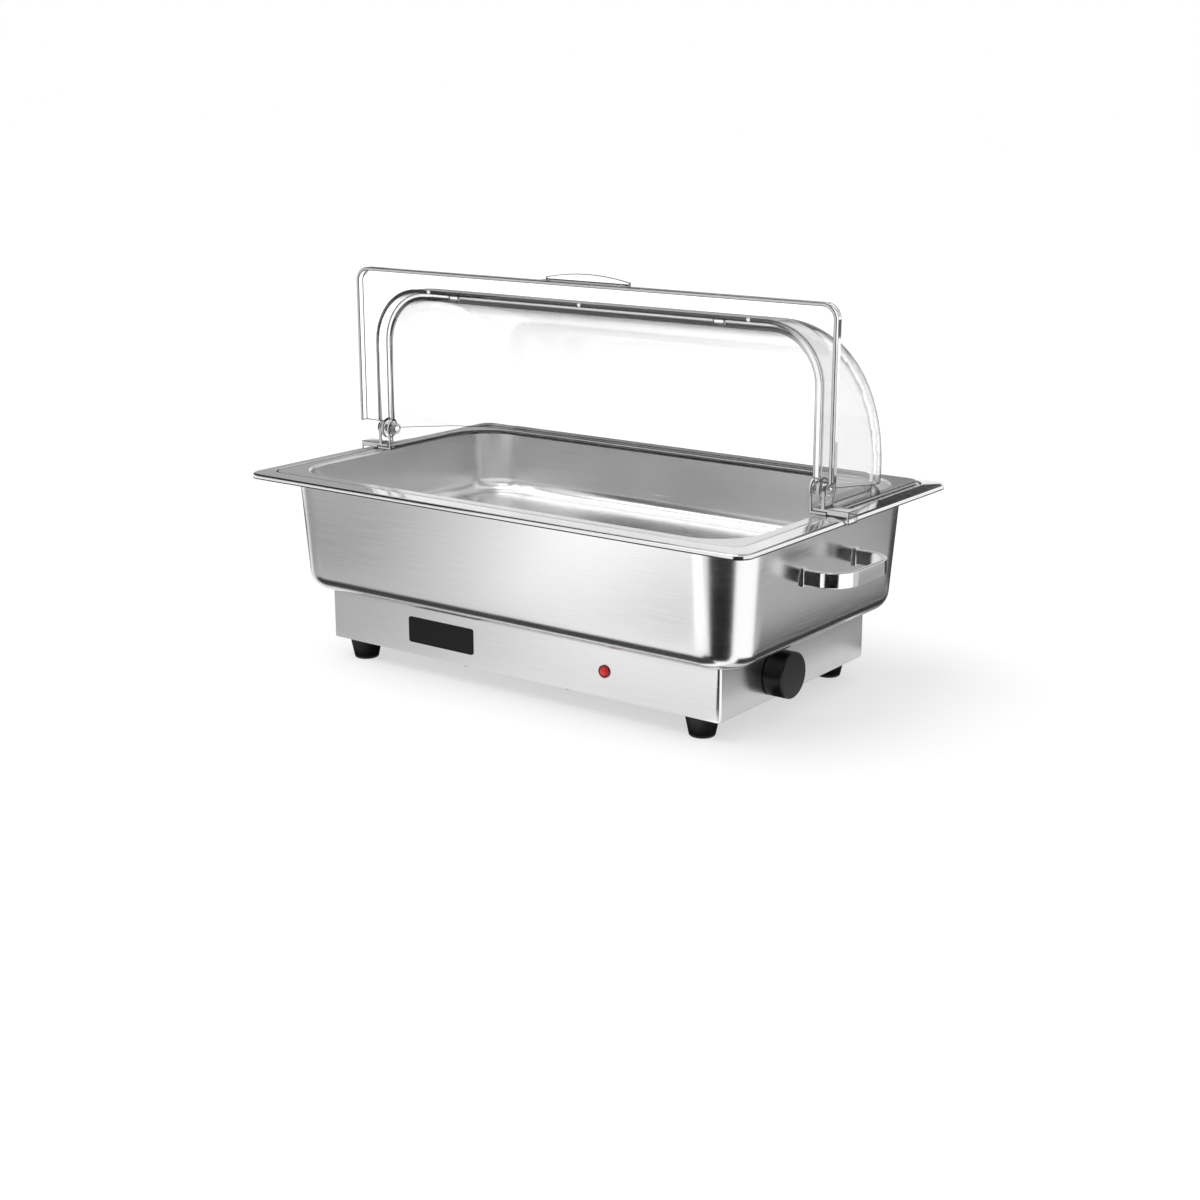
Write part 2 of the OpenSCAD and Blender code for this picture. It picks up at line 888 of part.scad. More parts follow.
module stud_spacers() {
    color("silver")
    for (p = stud_points)
        translate([p[0], p[1], shield_z + shield_t])
            ring(2*m5_d, m5_d + 2*fit, spacer_l);
}

module stud_nuts() {
    color("gainsboro")
    for (p = stud_points)
        translate([p[0], p[1], shield_z - stud_nut_h])
            hex_nut(2*m5_d - 1, m5_d + 2*run_fit, stud_nut_h);
}

// Thermostat

module thermostat_body() {
    inner = wall_x - base_sheet;
    color("#d8d2c0")
    at_knob()
        difference() {
            union() {
                translate([thermostat_x, -thermostat_w/2, -thermostat_h/2])
                    cube([thermostat_t, thermostat_w, thermostat_h]);
                bar_x(bush_d, inner, wall_x + bush_out);
            }
            bar_x(spindle_d + 2*run_fit, inner - spindle_in, wall_x + over);
            for (s = [-1, 1])
                translate([0, s*thermostat_pitch/2, 0])
                    bar_x(m4_d + 2*run_fit, inner - thermostat_bore_l, wall_x);
        }
}

module thermostat_screws() {
    head_t = knob_room - head_gap;
    color("gainsboro")
    at_knob()
        for (s = [-1, 1])
            translate([0, s*thermostat_pitch/2, 0]) {
                bar_x(m4_d, wall_x - base_sheet - thermostat_screw_l, wall_x + head_t);
                bar_x(thermostat_head_d, wall_x, wall_x + head_t);
            }
}

module thermostat_bulb() {
    color("peru")
    translate([bulb_x, 0, bulb_z])
        bar_y(bulb_d, bulb_y, bulb_y + bulb_l);
}

// Thin tube from the bulb's end to the top of the thermostat
module capillary_tube() {
    enter_x = thermostat_x + thermostat_t/2;
    top_z = panel_z + thermostat_h/2;
    drop = 1.5*capillary_d;
    color("peru") {
        translate([bulb_x + capillary_bend, bulb_y, bulb_z])
            rotate([0, 0, 180])
                rotate_extrude(angle = 90)
                    translate([capillary_bend, 0])
                        circle(d = capillary_d);
        translate([0, capillary_y, bulb_z])
            bar_x(capillary_d, bulb_x + capillary_bend, enter_x - drop);
        translate([enter_x - drop, capillary_y, bulb_z - drop])
            rotate([90, 0, 0])
                rotate_extrude(angle = 90)
                    translate([drop, 0])
                        circle(d = capillary_d);
        translate([enter_x, capillary_y, top_z])
            cylinder(d = capillary_d, h = bulb_z - drop - top_z);
    }
}

module bulb_clips() {
    clip_l = bulb_d + 2*clip_wall;
    low = bulb_z - bulb_d/2 - clip_t;
    color("silver")
    for (y = [bulb_y + bulb_l/5, bulb_y + bulb_l*4/5])
        translate([bulb_x, y, 0])
            difference() {
                translate([-clip_l/2, -clip_w/2, low])
                    cube([clip_l, clip_w, base_top - low]);
                translate([0, 0, bulb_z])
                    bar_y(bulb_d + 2*run_fit, -clip_w, clip_w);
            }
}

// Water pan and its handles

module water_pan() {
    color("lightgray")
    difference() {
        union() {
            translate([0, 0, base_top])
                tub(body_l, body_w, water_corner_r, body_h, water_draft, water_fillet);
            slab(recess_l + 2*water_sheet, recess_w + 2*water_sheet, recess_r + water_sheet,
                seat_z - water_sheet, rim_z - water_sheet);
            slab(rim_l, rim_w, rim_r, rim_z - water_sheet, rim_z);
            difference() {
                slab(rim_l, rim_w, rim_r, rim_z - skirt_h, rim_z - water_sheet);
                slab(rim_l - 2*water_sheet, rim_w - 2*water_sheet, rim_r - water_sheet,
                    rim_z - skirt_h - over, rim_z);
            }
        }
        slab(recess_l, recess_w, recess_r, seat_z, rim_z + over);
        translate([0, 0, base_top])
            tub(body_l, body_w, water_corner_r, body_h, water_draft, water_fillet, water_sheet, 1);
    }
}

// Half length of the water pan's body at a height above its underside
function body_half(z) = body_l/2 - (body_h - z)*tan(water_draft);

// Bent strap standing on the right wall
module handle_strap() {
    low = handle_z - handle_h/2;
    high = handle_z + handle_h/2;
    inner_x = body_half(low) - over;
    outer_x = body_half(handle_z) + handle_reach;
    bend_in = handle_bend - handle_t;
    translate([0, 0, base_top])
        intersection() {
            translate([0, 0, low])
                linear_extrude(handle_h)
                    difference() {
                        strap_outline(inner_x, outer_x, handle_l/2, handle_bend);
                        strap_outline(inner_x - over, outer_x - handle_t, handle_l/2 - handle_t, bend_in);
                    }
            rotate([90, 0, 0])
                linear_extrude(2*handle_l, center = true)
                    polygon([
                        [body_half(low - over), low - over], [outer_x + over, low - over],
                        [outer_x + over, high + over], [body_half(high + over), high + over]]);
        }
}

// Rectangle from x0 to x1 whose two corners at x1 are rounded
module strap_outline(x0, x1, half, r) {
    translate([x0, -half])
        square([x1 - r - x0, 2*half]);
    translate([x0, r - half])
        square([x1 - x0, 2*(half - r)]);
    for (s = [-1, 1])
        translate([x1 - r, s*(half - r)])
            circle(r);
}

module handle_right() {
    color("lightgray")
        handle_strap();
}

module handle_left() {
    color("lightgray")
        mirror([1, 0, 0])
            handle_strap();
}

// Knob

module control_knob() {
    color("#141414")
    at_knob()
        translate([knob_back, 0, 0])
            difference() {
                rotate([0, 90, 0]) {
                    cylinder(d = knob_d, h = knob_l - knob_bevel);
                    translate([0, 0, knob_l - knob_bevel])
                        cylinder(d1 = knob_d, d2 = knob_d - 2*knob_bevel, h = knob_bevel);
                }
                bar_x(knob_recess_d, -over, knob_recess);
                spindle_shape(-over, knob_bore_l, run_fit, -over);
            }
}

// Round bar along X with a flat on top from flat_from on
module spindle_shape(x0, x1, grow, flat_from) {
    r = spindle_d/2 + grow;
    difference() {
        bar_x(2*r, x0, x1);
        translate([flat_from, -2*r, r - flat_depth])
            cube([x1 - flat_from + 1, 4*r, 2*r]);
    }
}

module thermostat_spindle() {
    start = wall_x - base_sheet - spindle_in + spindle_play;
    color("gainsboro")
    at_knob()
        spindle_shape(start, knob_back + knob_bore_l - spindle_play, 0, wall_x + bush_out + spindle_play);
}

// Food pan

module food_pan() {
    low = food_z - food_depth;
    color("silver")
    difference() {
        union() {
            translate([0, 0, low])
                tub(well_l, well_w, food_corner_r, food_depth, food_draft, food_fillet);
            slab(food_l, food_w, flange_corner_r, food_z - food_sheet, food_z);
            difference() {
                slab(food_l, food_w, flange_corner_r, seat_z, food_z - food_sheet);
                slab(food_l - 2*food_sheet, food_w - 2*food_sheet, flange_corner_r - food_sheet,
                    seat_z - over, food_z);
            }
        }
        translate([0, 0, low])
            tub(well_l, well_w, food_corner_r, food_depth, food_draft, food_fillet, food_sheet, 1);
    }
}

// Cover

module rear_shell() {
    color([0.85, 0.9, 0.92, 0.4])
    difference() {
        union() {
            layer_front(0, cover_wall)
                arch_strip(lip_out, -cover_wall, hub_in);
            on_hinge()
                rotate([90, 0, 90])
                    rotate_extrude(angle = 90)
                        arch_strip(0, -cover_wall, hub_in);
            layer_below(rear_flange_top, hinge_z)
                arch_strip(0, -cover_wall, hub_in);
            layer_below(food_z, rear_flange_top)
                difference() {
                    flange_outline(rear_flange_x, -bracket_w/2, rear_flange_y - hinge_y, flange_corner_r);
                    arch(-cover_wall);
                    translate([-bracket_w, cover_wall - rear_x])
                        square([2*bracket_w, 2*(rear_x - cover_wall)]);
                }
            on_hinge()
                both_ends() {
                    bar_x(2*hub_r, rear_x - cover_wall, rear_x);
                    translate([rear_x - cover_wall, -bracket_w/2, rear_flange_top - hinge_z])
                        cube([cover_wall, bracket_w, hinge_z - rear_flange_top]);
                }
        }
        on_hinge()
            bar_x(bore_d, -rim_l, rim_l);
        both_ends()
            translate([bracket_screw_x, hinge_y, food_z - over])
                cylinder(d = bracket_screw_d + 2*run_fit, h = 3*over);
    }
}

module hinge_bracket() {
    difference() {
        union() {
            translate([bracket_in, hinge_y - bracket_w/2, bracket_z])
                cube([hook_x + hook_t - bracket_in, bracket_w, bracket_t]);
            translate([rear_flange_x + fit, hinge_y - bracket_w/2, rim_pad_z])
                cube([hook_x + hook_t - rear_flange_x - fit, bracket_w, bracket_z - rim_pad_z]);
            translate([hook_x, hinge_y - bracket_w/2, rim_z - skirt_h])
                cube([hook_t, bracket_w, rim_pad_z - rim_z + skirt_h]);
            translate([lug_x, hinge_y - bracket_w/2, bracket_z + bracket_t])
                cube([lug_t, bracket_w, hinge_z - bracket_z - bracket_t]);
            on_hinge()
                bar_x(bracket_w, lug_x, lug_x + lug_t);
        }
        on_hinge()
            bar_x(bore_d, lug_x - over, lug_x + over + lug_t);
        translate([bracket_screw_x, hinge_y, bracket_z - over])
            cylinder(d = bracket_screw_d + 2*fit, h = 3*over);
    }
}

module hinge_bracket_right() {
    color([0.85, 0.9, 0.92, 0.5])
        hinge_bracket();
}

module hinge_bracket_left() {
    color([0.85, 0.9, 0.92, 0.5])
        mirror([1, 0, 0])
            hinge_bracket();
}

module bracket_screws() {
    head_h = 1.8;
    color("gainsboro")
    both_ends()
        translate([bracket_screw_x, hinge_y, food_z + fit]) {
            cylinder(d = bracket_screw_d, h = bracket_z + bracket_t - food_z - fit + head_h);
            translate([0, 0, bracket_z + bracket_t - food_z - fit])
                cylinder(d = 2*bracket_screw_d - 0.5, h = head_h);
        }
}

module hinge_pins() {
    color("whitesmoke")
    on_hinge()
        both_ends() {
            bar_x(pin_d, rear_x - cover_wall - cap_t, lug_x + lug_t);
            bar_x(pin_head_d, lug_x + lug_t, lug_x + lug_t + pin_head_t);
        }
}

module pin_caps() {
    color("whitesmoke")
    on_hinge()
        both_ends()
            translate([rear_x - cover_wall - cap_t, 0, 0])
                rotate([0, 90, 0])
                    ring(cap_d, bore_d, cap_t);
}

module hinge_spacers() {
    color("whitesmoke")
    on_hinge()
        both_ends()
            translate([rear_x, 0, 0])
                rotate([0, 90, 0])
                    ring(spacer_d, bore_d, shell_gap - boss_t - fit);
}

// Ledge behind the top of the front shell's flange, with a curved lip that stands on its far edge
module finger_grip() {
    rise = grip_h - grip_end_h;
    lip_r = (pow(grip_l/2, 2) + rise*rise)/(2*rise);
    back = flange_top_drop - grip_depth;
    top = flange_reach;
    layer_front(back, flange_low_drop)
        translate([top - cover_wall, -grip_l/2])
            square([cover_wall, grip_l]);
    layer_front(back, back + cover_wall)
        intersection() {
            translate([top + grip_h - lip_r, 0])
                circle(lip_r);
            translate([top - cover_wall, -grip_l/2])
                square([grip_h + cover_wall, grip_l]);
        }
}

module front_shell() {
    color([0.85, 0.9, 0.92, 0.4])
    difference() {
        union() {
            layer_front(flange_low_drop, edge_drop)
                difference() {
                    flange_outline(flange_x, flange_start, flange_reach, cover_flange_r);
                    flange_outline(flange_x - cover_wall, flange_start - over, flange_reach - cover_wall,
                        cover_flange_r - cover_wall);
                }
            layer_front(flange_top_drop, flange_low_drop)
                difference() {
                    flange_outline(flange_x, flange_start, flange_reach, cover_flange_r);
                    arch(front_in);
                }
            layer_front(flange_top_drop, flange_low_drop)
                for (s = [-1, 1])
                    translate([rear_reach + front_in - tab_h, s*tab_x - tab_l/2])
                        square([tab_h + cover_wall, tab_l]);
            layer_front(0, flange_top_drop)
                arch_strip(front_out, front_in, hub_in);
            on_hinge()
                rotate([90, 0, 90]) {
                    rotate_extrude(angle = 90)
                        arch_strip(front_out, front_in, hub_in);
                    mirror([0, 1, 0])
                        rotate_extrude(angle = overlap_angle)
                            arch_strip(front_out, front_in, hub_in);
                }
            on_hinge()
                both_ends()
                    bar_x(2*hub_r, front_x - cover_wall - boss_t, front_x + boss_t);
            finger_grip();
        }
        on_hinge()
            bar_x(bore_d, -rim_l, rim_l);
    }
}

// Round bumpers along the inner edge of the front shell's flange
module cover_bumpers() {
    reach = rear_reach + front_in + bumper_d/2 + fit;
    color("whitesmoke")
    layer_front(flange_low_drop, flange_low_drop + bumper_t)
        for (s = [-1:1])
            translate([reach, s*bumper_x])
                circle(d = bumper_d);
}

base_housing();
bottom_plate();
bottom_screws();
rubber_feet();
foot_screws();
foot_nuts();
front_plate();
pilot_lamp_lens();
pilot_lamp_body();
lamp_nut();
cord_gland();
gland_nut();
terminal_block();
terminal_screws();
heater_plate();
heating_element();
element_clamps();
clamp_screws();
thermal_cutout();
insulation_mat();
heat_shield();
pan_studs();
stud_spacers();
stud_nuts();
thermostat_body();
thermostat_screws();
thermostat_bulb();
capillary_tube();
bulb_clips();
water_pan();
handle_left();
handle_right();
control_knob();
thermostat_spindle();
food_pan();
rear_shell();
hinge_bracket_left();
hinge_bracket_right();
bracket_screws();
hinge_pins();
pin_caps();
hinge_spacers();
front_shell();
cover_bumpers();
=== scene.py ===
# Electric chafing dish with an open roll-top cover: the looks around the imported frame
import bpy
import bmesh
import math
from mathutils import Matrix, Vector
from mathutils.bvhtree import BVHTree


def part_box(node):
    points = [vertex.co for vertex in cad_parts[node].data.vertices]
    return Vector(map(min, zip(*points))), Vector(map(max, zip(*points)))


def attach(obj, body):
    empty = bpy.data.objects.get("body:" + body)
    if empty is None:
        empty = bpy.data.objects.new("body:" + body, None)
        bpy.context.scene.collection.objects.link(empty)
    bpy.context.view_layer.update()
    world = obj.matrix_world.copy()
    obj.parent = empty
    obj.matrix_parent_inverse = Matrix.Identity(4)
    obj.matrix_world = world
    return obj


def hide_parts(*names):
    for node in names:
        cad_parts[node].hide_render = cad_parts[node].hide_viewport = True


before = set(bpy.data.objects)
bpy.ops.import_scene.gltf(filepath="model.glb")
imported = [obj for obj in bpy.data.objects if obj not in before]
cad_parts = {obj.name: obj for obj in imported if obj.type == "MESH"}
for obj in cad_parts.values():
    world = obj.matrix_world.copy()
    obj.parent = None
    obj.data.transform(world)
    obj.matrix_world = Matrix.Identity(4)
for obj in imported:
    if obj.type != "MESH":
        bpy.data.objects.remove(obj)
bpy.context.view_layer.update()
mm = 0.001  # shapes are drawn in millimetres and meshes are made in metres
weld = 0.001  # points of the frame closer than this, in millimetres, are one
print("frame loaded:", len(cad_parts), "nodes")


# small helpers

def linear(hexText):
    parts = [int(hexText[i:i + 2], 16) / 255 for i in (1, 3, 5)]
    return tuple(c / 12.92 if c <= 0.04045 else ((c + 0.055) / 1.055) ** 2.4 for c in parts) + (1,)


def addNode(tree, kind, inputs=None, **settings):
    node = tree.nodes.new(kind)
    for key, value in settings.items():
        setattr(node, key, value)
    for key, value in (inputs or {}).items():
        if isinstance(value, bpy.types.NodeSocket):
            tree.links.new(value, node.inputs[key])
        else:
            node.inputs[key].default_value = value
    return node


def boxMm(node):
    low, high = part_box(node)
    return low / mm, high / mm


def middleMm(node):
    low, high = boxMm(node)
    return (low + high) / 2


def solidBoxes(node):
    # the box of each separate solid of a node, in millimetres
    work = bmesh.new()
    work.from_mesh(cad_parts[node].data)
    bmesh.ops.remove_doubles(work, verts=work.verts, dist=weld * mm)
    left = set(work.verts)
    boxes = []
    while left:
        stack = [left.pop()]
        found = []
        while stack:
            vert = stack.pop()
            found.append(vert.co / mm)
            for edge in vert.link_edges:
                other = edge.other_vert(vert)
                if other in left:
                    left.remove(other)
                    stack.append(other)
        low = Vector([min(p[i] for p in found) for i in range(3)])
        high = Vector([max(p[i] for p in found) for i in range(3)])
        boxes.append((low, high))
    work.free()
    return sorted(boxes, key=lambda b: tuple(round(c, 3) for c in b[0]))


def solidMiddles(node):
    return [(low + high) / 2 for low, high in solidBoxes(node)]


# materials

noiseLow, noiseHigh = 0.3, 0.7  # most of a noise texture's values lie between these
octaves = {"streaks": 4, "haze": 2, "grain": 3, "drift": 2, "ripple": 1}  # how finely each noise breaks up
beltLines = {"depth": 0.2, "rough": 0.62}  # millimetres, and the share that each finer octave keeps
moulding = {"depth": 0.3, "spread": 0.4}  # millimetres, and the share by which the gloss varies


def newFinish(name):
    finish = bpy.data.materials.new(name)
    finish.use_nodes = True
    tree = finish.node_tree
    return finish, tree, tree.nodes["Principled BSDF"]


def sheetSteel(name, look):
    # stainless sheet: a metal with fine lines from the belt or the polish that stretch every reflection
    finish, tree, shader = newFinish(name)
    where = addNode(tree, "ShaderNodeTexCoord")
    along = addNode(tree, "ShaderNodeMapping", {
        "Vector": where.outputs["UV"],
        "Scale": (1 / (look["streakLong"] * mm), 1 / (look["streakHigh"] * mm), 1)})
    streaks = addNode(tree, "ShaderNodeTexNoise", {
        "Vector": along.outputs[0], "Scale": 1, "Detail": octaves["streaks"],
        "Roughness": beltLines["rough"]})
    haze = addNode(tree, "ShaderNodeTexNoise", {
        "Vector": where.outputs["Object"], "Scale": 1 / (look["haze"] * mm), "Detail": octaves["haze"]})
    tint = addNode(tree, "ShaderNodeMix", {
        0: streaks.outputs[0], 6: linear(look["dark"]), 7: linear(look["steel"])}, data_type="RGBA")
    rough = addNode(tree, "ShaderNodeMapRange", {
        0: streaks.outputs[0], 1: noiseLow, 2: noiseHigh,
        3: look["rough"] - look["spread"], 4: look["rough"] + look["spread"]})
    mixed = addNode(tree, "ShaderNodeMath", {
        0: haze.outputs[0], 1: look["hazeRough"], 2: rough.outputs[0]}, operation="MULTIPLY_ADD")
    bump = addNode(tree, "ShaderNodeBump", {
        "Strength": look["bump"], "Distance": beltLines["depth"] * mm, "Height": streaks.outputs[0]})
    tree.links.new(tint.outputs[2], shader.inputs["Base Color"])
    tree.links.new(mixed.outputs[0], shader.inputs["Roughness"])
    tree.links.new(bump.outputs[0], shader.inputs["Normal"])
    shader.inputs["Metallic"].default_value = 1
    return finish


# the belt lines are really about 0.1 mm wide; they are drawn wider so that they show
brushedSteel = sheetSteel("brushedStainlessSteel", {
    "steel": "#E2E2E2", "dark": "#CFCFD0", "streakLong": 55, "streakHigh": 0.9, "haze": 60,
    "rough": 0.21, "spread": 0.045, "hazeRough": 0.03, "bump": 0.012})
polishedSteel = sheetSteel("polishedStainlessSteel", {
    "steel": "#EEEEEE", "dark": "#E5E5E6", "streakLong": 30, "streakHigh": 0.8, "haze": 45,
    "rough": 0.1, "spread": 0.025, "hazeRough": 0.03, "bump": 0.006})
satinSteel = sheetSteel("satinStainlessSteel", {
    "steel": "#E4E4E4", "dark": "#D9D9DA", "streakLong": 40, "streakHigh": 0.8, "haze": 50,
    "rough": 0.22, "spread": 0.03, "hazeRough": 0.04, "bump": 0.008})


def grainyFinish(name, look):
    # one colour broken by a fine grain and a slower drift, on metal, plastic, rubber or felt
    finish, tree, shader = newFinish(name)
    where = addNode(tree, "ShaderNodeTexCoord")
    grain = addNode(tree, "ShaderNodeTexNoise", {
        "Vector": where.outputs["Object"], "Scale": 1 / (look["grain"] * mm), "Detail": octaves["grain"]})
    drift = addNode(tree, "ShaderNodeTexNoise", {
        "Vector": where.outputs["Object"], "Scale": 1 / (look["drift"] * mm), "Detail": octaves["drift"]})
    tint = addNode(tree, "ShaderNodeMix", {
        0: drift.outputs[0], 6: linear(look["low"]), 7: linear(look["high"])}, data_type="RGBA")
    rough = addNode(tree, "ShaderNodeMapRange", {
        0: grain.outputs[0], 1: noiseLow, 2: noiseHigh,
        3: look["rough"] - look["spread"], 4: look["rough"] + look["spread"]})
    bump = addNode(tree, "ShaderNodeBump", {
        "Strength": look["bump"], "Distance": look["depth"] * mm, "Height": grain.outputs[0]})
    tree.links.new(tint.outputs[2], shader.inputs["Base Color"])
    tree.links.new(rough.outputs[0], shader.inputs["Roughness"])
    tree.links.new(bump.outputs[0], shader.inputs["Normal"])
    shader.inputs["Metallic"].default_value = look.get("metal", 0)
    shader.inputs["Specular IOR Level"].default_value = look.get("specular", 0.5)
    return finish


# zinc plating: cool grey, slightly cloudy spangle
zincSteel = grainyFinish("zincPlatedSteel", {
    "low": "#B4B6B8", "high": "#CDCFD0", "grain": 0.8, "drift": 6, "rough": 0.33, "spread": 0.06,
    "bump": 0.05, "depth": 0.05, "metal": 1})
# rolled sheet left bare underneath: dull, with a soft drift
millSteel = grainyFinish("rolledStainlessSteel", {
    "low": "#BDBCBA", "high": "#D2D1CF", "grain": 0.7, "drift": 24, "rough": 0.36, "spread": 0.06,
    "bump": 0.04, "depth": 0.05, "metal": 1})
# heating tube: blued and sooty from use
elementSteel = grainyFinish("heatDarkenedTube", {
    "low": "#3A3632", "high": "#5A5550", "grain": 0.9, "drift": 9, "rough": 0.5, "spread": 0.08,
    "bump": 0.2, "depth": 0.1, "metal": 1})
# painted shade: a dark steel with a fine grain, on the hem of the rim's skirt and in the gap round the food
# pan, where shadow and dark reflections fall
shadeLineSteel = grainyFinish("paintedShadeLineSteel", {
    "low": "#2E2E2E", "high": "#474747", "grain": 0.5, "drift": 7, "rough": 0.45, "spread": 0.08,
    "bump": 0.2, "depth": 0.08, "metal": 1})
# sheet, tube and bar of the inner parts: a soft sheen from rolling, drawing or turning
aluminium = grainyFinish("rolledAluminium", {
    "low": "#C9CBCD", "high": "#DDDEDF", "grain": 0.8, "drift": 20, "rough": 0.38, "spread": 0.06,
    "bump": 0.05, "depth": 0.05, "metal": 1})
copper = grainyFinish("drawnCopper", {
    "low": "#B87350", "high": "#D79A72", "grain": 0.8, "drift": 8, "rough": 0.32, "spread": 0.06,
    "bump": 0.05, "depth": 0.05, "metal": 1})
brass = grainyFinish("turnedBrass", {
    "low": "#C7A55C", "high": "#DEC487", "grain": 0.6, "drift": 6, "rough": 0.28, "spread": 0.05,
    "bump": 0.05, "depth": 0.05, "metal": 1})
# moulded ABS: deep black with a fine spark-eroded grain that softens the highlight
blackAbs = grainyFinish("mouldedBlackAbs", {
    "low": "#0A0A0B", "high": "#111112", "grain": 0.7, "drift": 14, "rough": 0.34, "spread": 0.06,
    "bump": 0.12, "depth": 0.06, "specular": 0.35})
# plate lacquer: smoother and a little greyer than the knob
blackPlate = grainyFinish("lacqueredBlackPlate", {
    "low": "#0D0D0D", "high": "#131313", "grain": 0.6, "drift": 18, "rough": 0.45, "spread": 0.05,
    "bump": 0.06, "depth": 0.04, "specular": 0.2})
# moulded nylon: warm ivory with a dull sheen
ivoryNylon = grainyFinish("mouldedIvoryNylon", {
    "low": "#DAD2BE", "high": "#E6DFCC", "grain": 0.8, "drift": 12, "rough": 0.48, "spread": 0.06,
    "bump": 0.1, "depth": 0.06})
# moulded rubber: nearly black, matt, dusty on the drift
blackRubber = grainyFinish("mouldedBlackRubber", {
    "low": "#0A0A0A", "high": "#141413", "grain": 0.9, "drift": 10, "rough": 0.55, "spread": 0.08,
    "bump": 0.25, "depth": 0.1, "specular": 0.4})
# felted ceramic fibre: off-white, tufted
fibreMat = grainyFinish("ceramicFibreFelt", {
    "low": "#DAD7CD", "high": "#EEECE4", "grain": 1.6, "drift": 12, "rough": 0.9, "spread": 0.05,
    "bump": 0.6, "depth": 0.5})
# red polycarbonate: a dark rim where the wall is thick, bright over the lit centre
redRim = grainyFinish("redLensRim", {
    "low": "#7D0A0E", "high": "#960E12", "grain": 1.2, "drift": 5, "rough": 0.2, "spread": 0.04,
    "bump": 0.04, "depth": 0.04})
redDome = grainyFinish("redLensDome", {
    "low": "#D81416", "high": "#F02A26", "grain": 1.5, "drift": 4, "rough": 0.14, "spread": 0.03,
    "bump": 0.03, "depth": 0.04})
glow = redDome.node_tree.nodes["Principled BSDF"]
glow.inputs["Emission Color"].default_value = linear("#FF1A14")
glow.inputs["Emission Strength"].default_value = 0.22


def clearFinish(name, look):
    # moulded polycarbonate: clear faces, painted shade where a bent wall is seen edge-on, a faint ripple from
    # the mould
    finish, tree, shader = newFinish(name)
    where = addNode(tree, "ShaderNodeTexCoord")
    ripple = addNode(tree, "ShaderNodeTexNoise", {
        "Vector": where.outputs["Object"], "Scale": 1 / (look["ripple"] * mm),
        "Detail": octaves["ripple"]})
    rough = addNode(tree, "ShaderNodeMapRange", {
        0: ripple.outputs[0], 1: noiseLow, 2: noiseHigh,
        3: look["rough"] * (1 - moulding["spread"]), 4: look["rough"] * (1 + moulding["spread"])})
    bump = addNode(tree, "ShaderNodeBump", {
        "Strength": look["bump"], "Distance": moulding["depth"] * mm, "Height": ripple.outputs[0]})
    tree.links.new(rough.outputs[0], shader.inputs["Roughness"])
    tree.links.new(bump.outputs[0], shader.inputs["Normal"])
    shader.inputs["Base Color"].default_value = linear(look["tint"])
    shader.inputs["IOR"].default_value = look["ior"]
    shader.inputs["Transmission Weight"].default_value = 1
    # lamps shine through, so the cover throws hardly any shadow; a wall seen edge-on is mixed towards a dark
    # see-through grey, a painted shade that stands in for the dark refraction there
    path = addNode(tree, "ShaderNodeLightPath")
    shadow = path.outputs["Is Shadow Ray"]
    turn = addNode(tree, "ShaderNodeLayerWeight")
    edgeOn = addNode(tree, "ShaderNodeMapRange", {
        0: turn.outputs["Facing"], 1: look["outline"], 2: 1, 3: 0, 4: look["outlineDark"]})
    # light caught between the faces of a wall goes straight on after a few turns
    caught = addNode(tree, "ShaderNodeMath", {
        0: path.outputs["Ray Depth"], 1: look["turns"]}, operation="GREATER_THAN")
    passes = addNode(tree, "ShaderNodeMath", {0: shadow, 1: caught.outputs[0]}, operation="MAXIMUM")
    share = addNode(tree, "ShaderNodeMath", {
        0: passes.outputs[0], 1: edgeOn.outputs[0]}, operation="MAXIMUM")
    tint = addNode(tree, "ShaderNodeMix", {
        0: passes.outputs[0], 6: linear(look["edgeOnShade"]), 7: linear(look["shadow"])}, data_type="RGBA")
    through = addNode(tree, "ShaderNodeBsdfTransparent", {"Color": tint.outputs[2]})
    mixed = addNode(tree, "ShaderNodeMixShader", {
        0: share.outputs[0], 1: shader.outputs[0], 2: through.outputs[0]})
    tree.links.new(mixed.outputs[0], tree.nodes["Material Output"].inputs["Surface"])
    return finish


clearCover = clearFinish("clearPolycarbonate", {
    "tint": "#FDFDFD", "edgeOnShade": "#2A2C2D", "outline": 0.7, "outlineDark": 0.9, "turns": 3, "ior": 1.5,
    "rough": 0.015, "ripple": 60, "bump": 0.02, "shadow": "#F7F7F7"})
# painted light and shade: the clear sheet's edge faces are opaque, a light grey standing in for light coming
# through the edge, with a dark line on each bevelled corner standing in for the dark refraction there
paintedLitCoverEdge = grainyFinish("polycarbonatePaintedLitEdge", {
    "low": "#E2E3E4", "high": "#F0F1F1", "grain": 0.8, "drift": 9, "rough": 0.2, "spread": 0.04,
    "bump": 0.03, "depth": 0.04})
paintedDarkCoverLine = grainyFinish("polycarbonatePaintedDarkLine", {
    "low": "#26292A", "high": "#3A3E40", "grain": 0.8, "drift": 7, "rough": 0.18, "spread": 0.04,
    "bump": 0.03, "depth": 0.04})
# small moulded pins and caps: clear too, but their gloss is duller
clearPin = clearFinish("clearPolycarbonatePin", {
    "tint": "#FAFAFA", "edgeOnShade": "#2A2C2D", "outline": 0.7, "outlineDark": 0.8, "turns": 3, "ior": 1.45,
    "rough": 0.06, "ripple": 6, "bump": 0.05, "shadow": "#E8E8E8"})
print("materials made:", len(bpy.data.materials))


# mesh tools

def addObject(name, mesh, finishes):
    piece = bpy.data.objects.new(name, mesh)
    bpy.context.scene.collection.objects.link(piece)
    for finish in finishes:
        mesh.materials.append(finish)
    return piece


def bake(piece):
    # the modifiers' result becomes the piece's own mesh
    graph = bpy.context.evaluated_depsgraph_get()
    result = bpy.data.meshes.new_from_object(piece.evaluated_get(graph))
    piece.modifiers.clear()
    piece.data = result


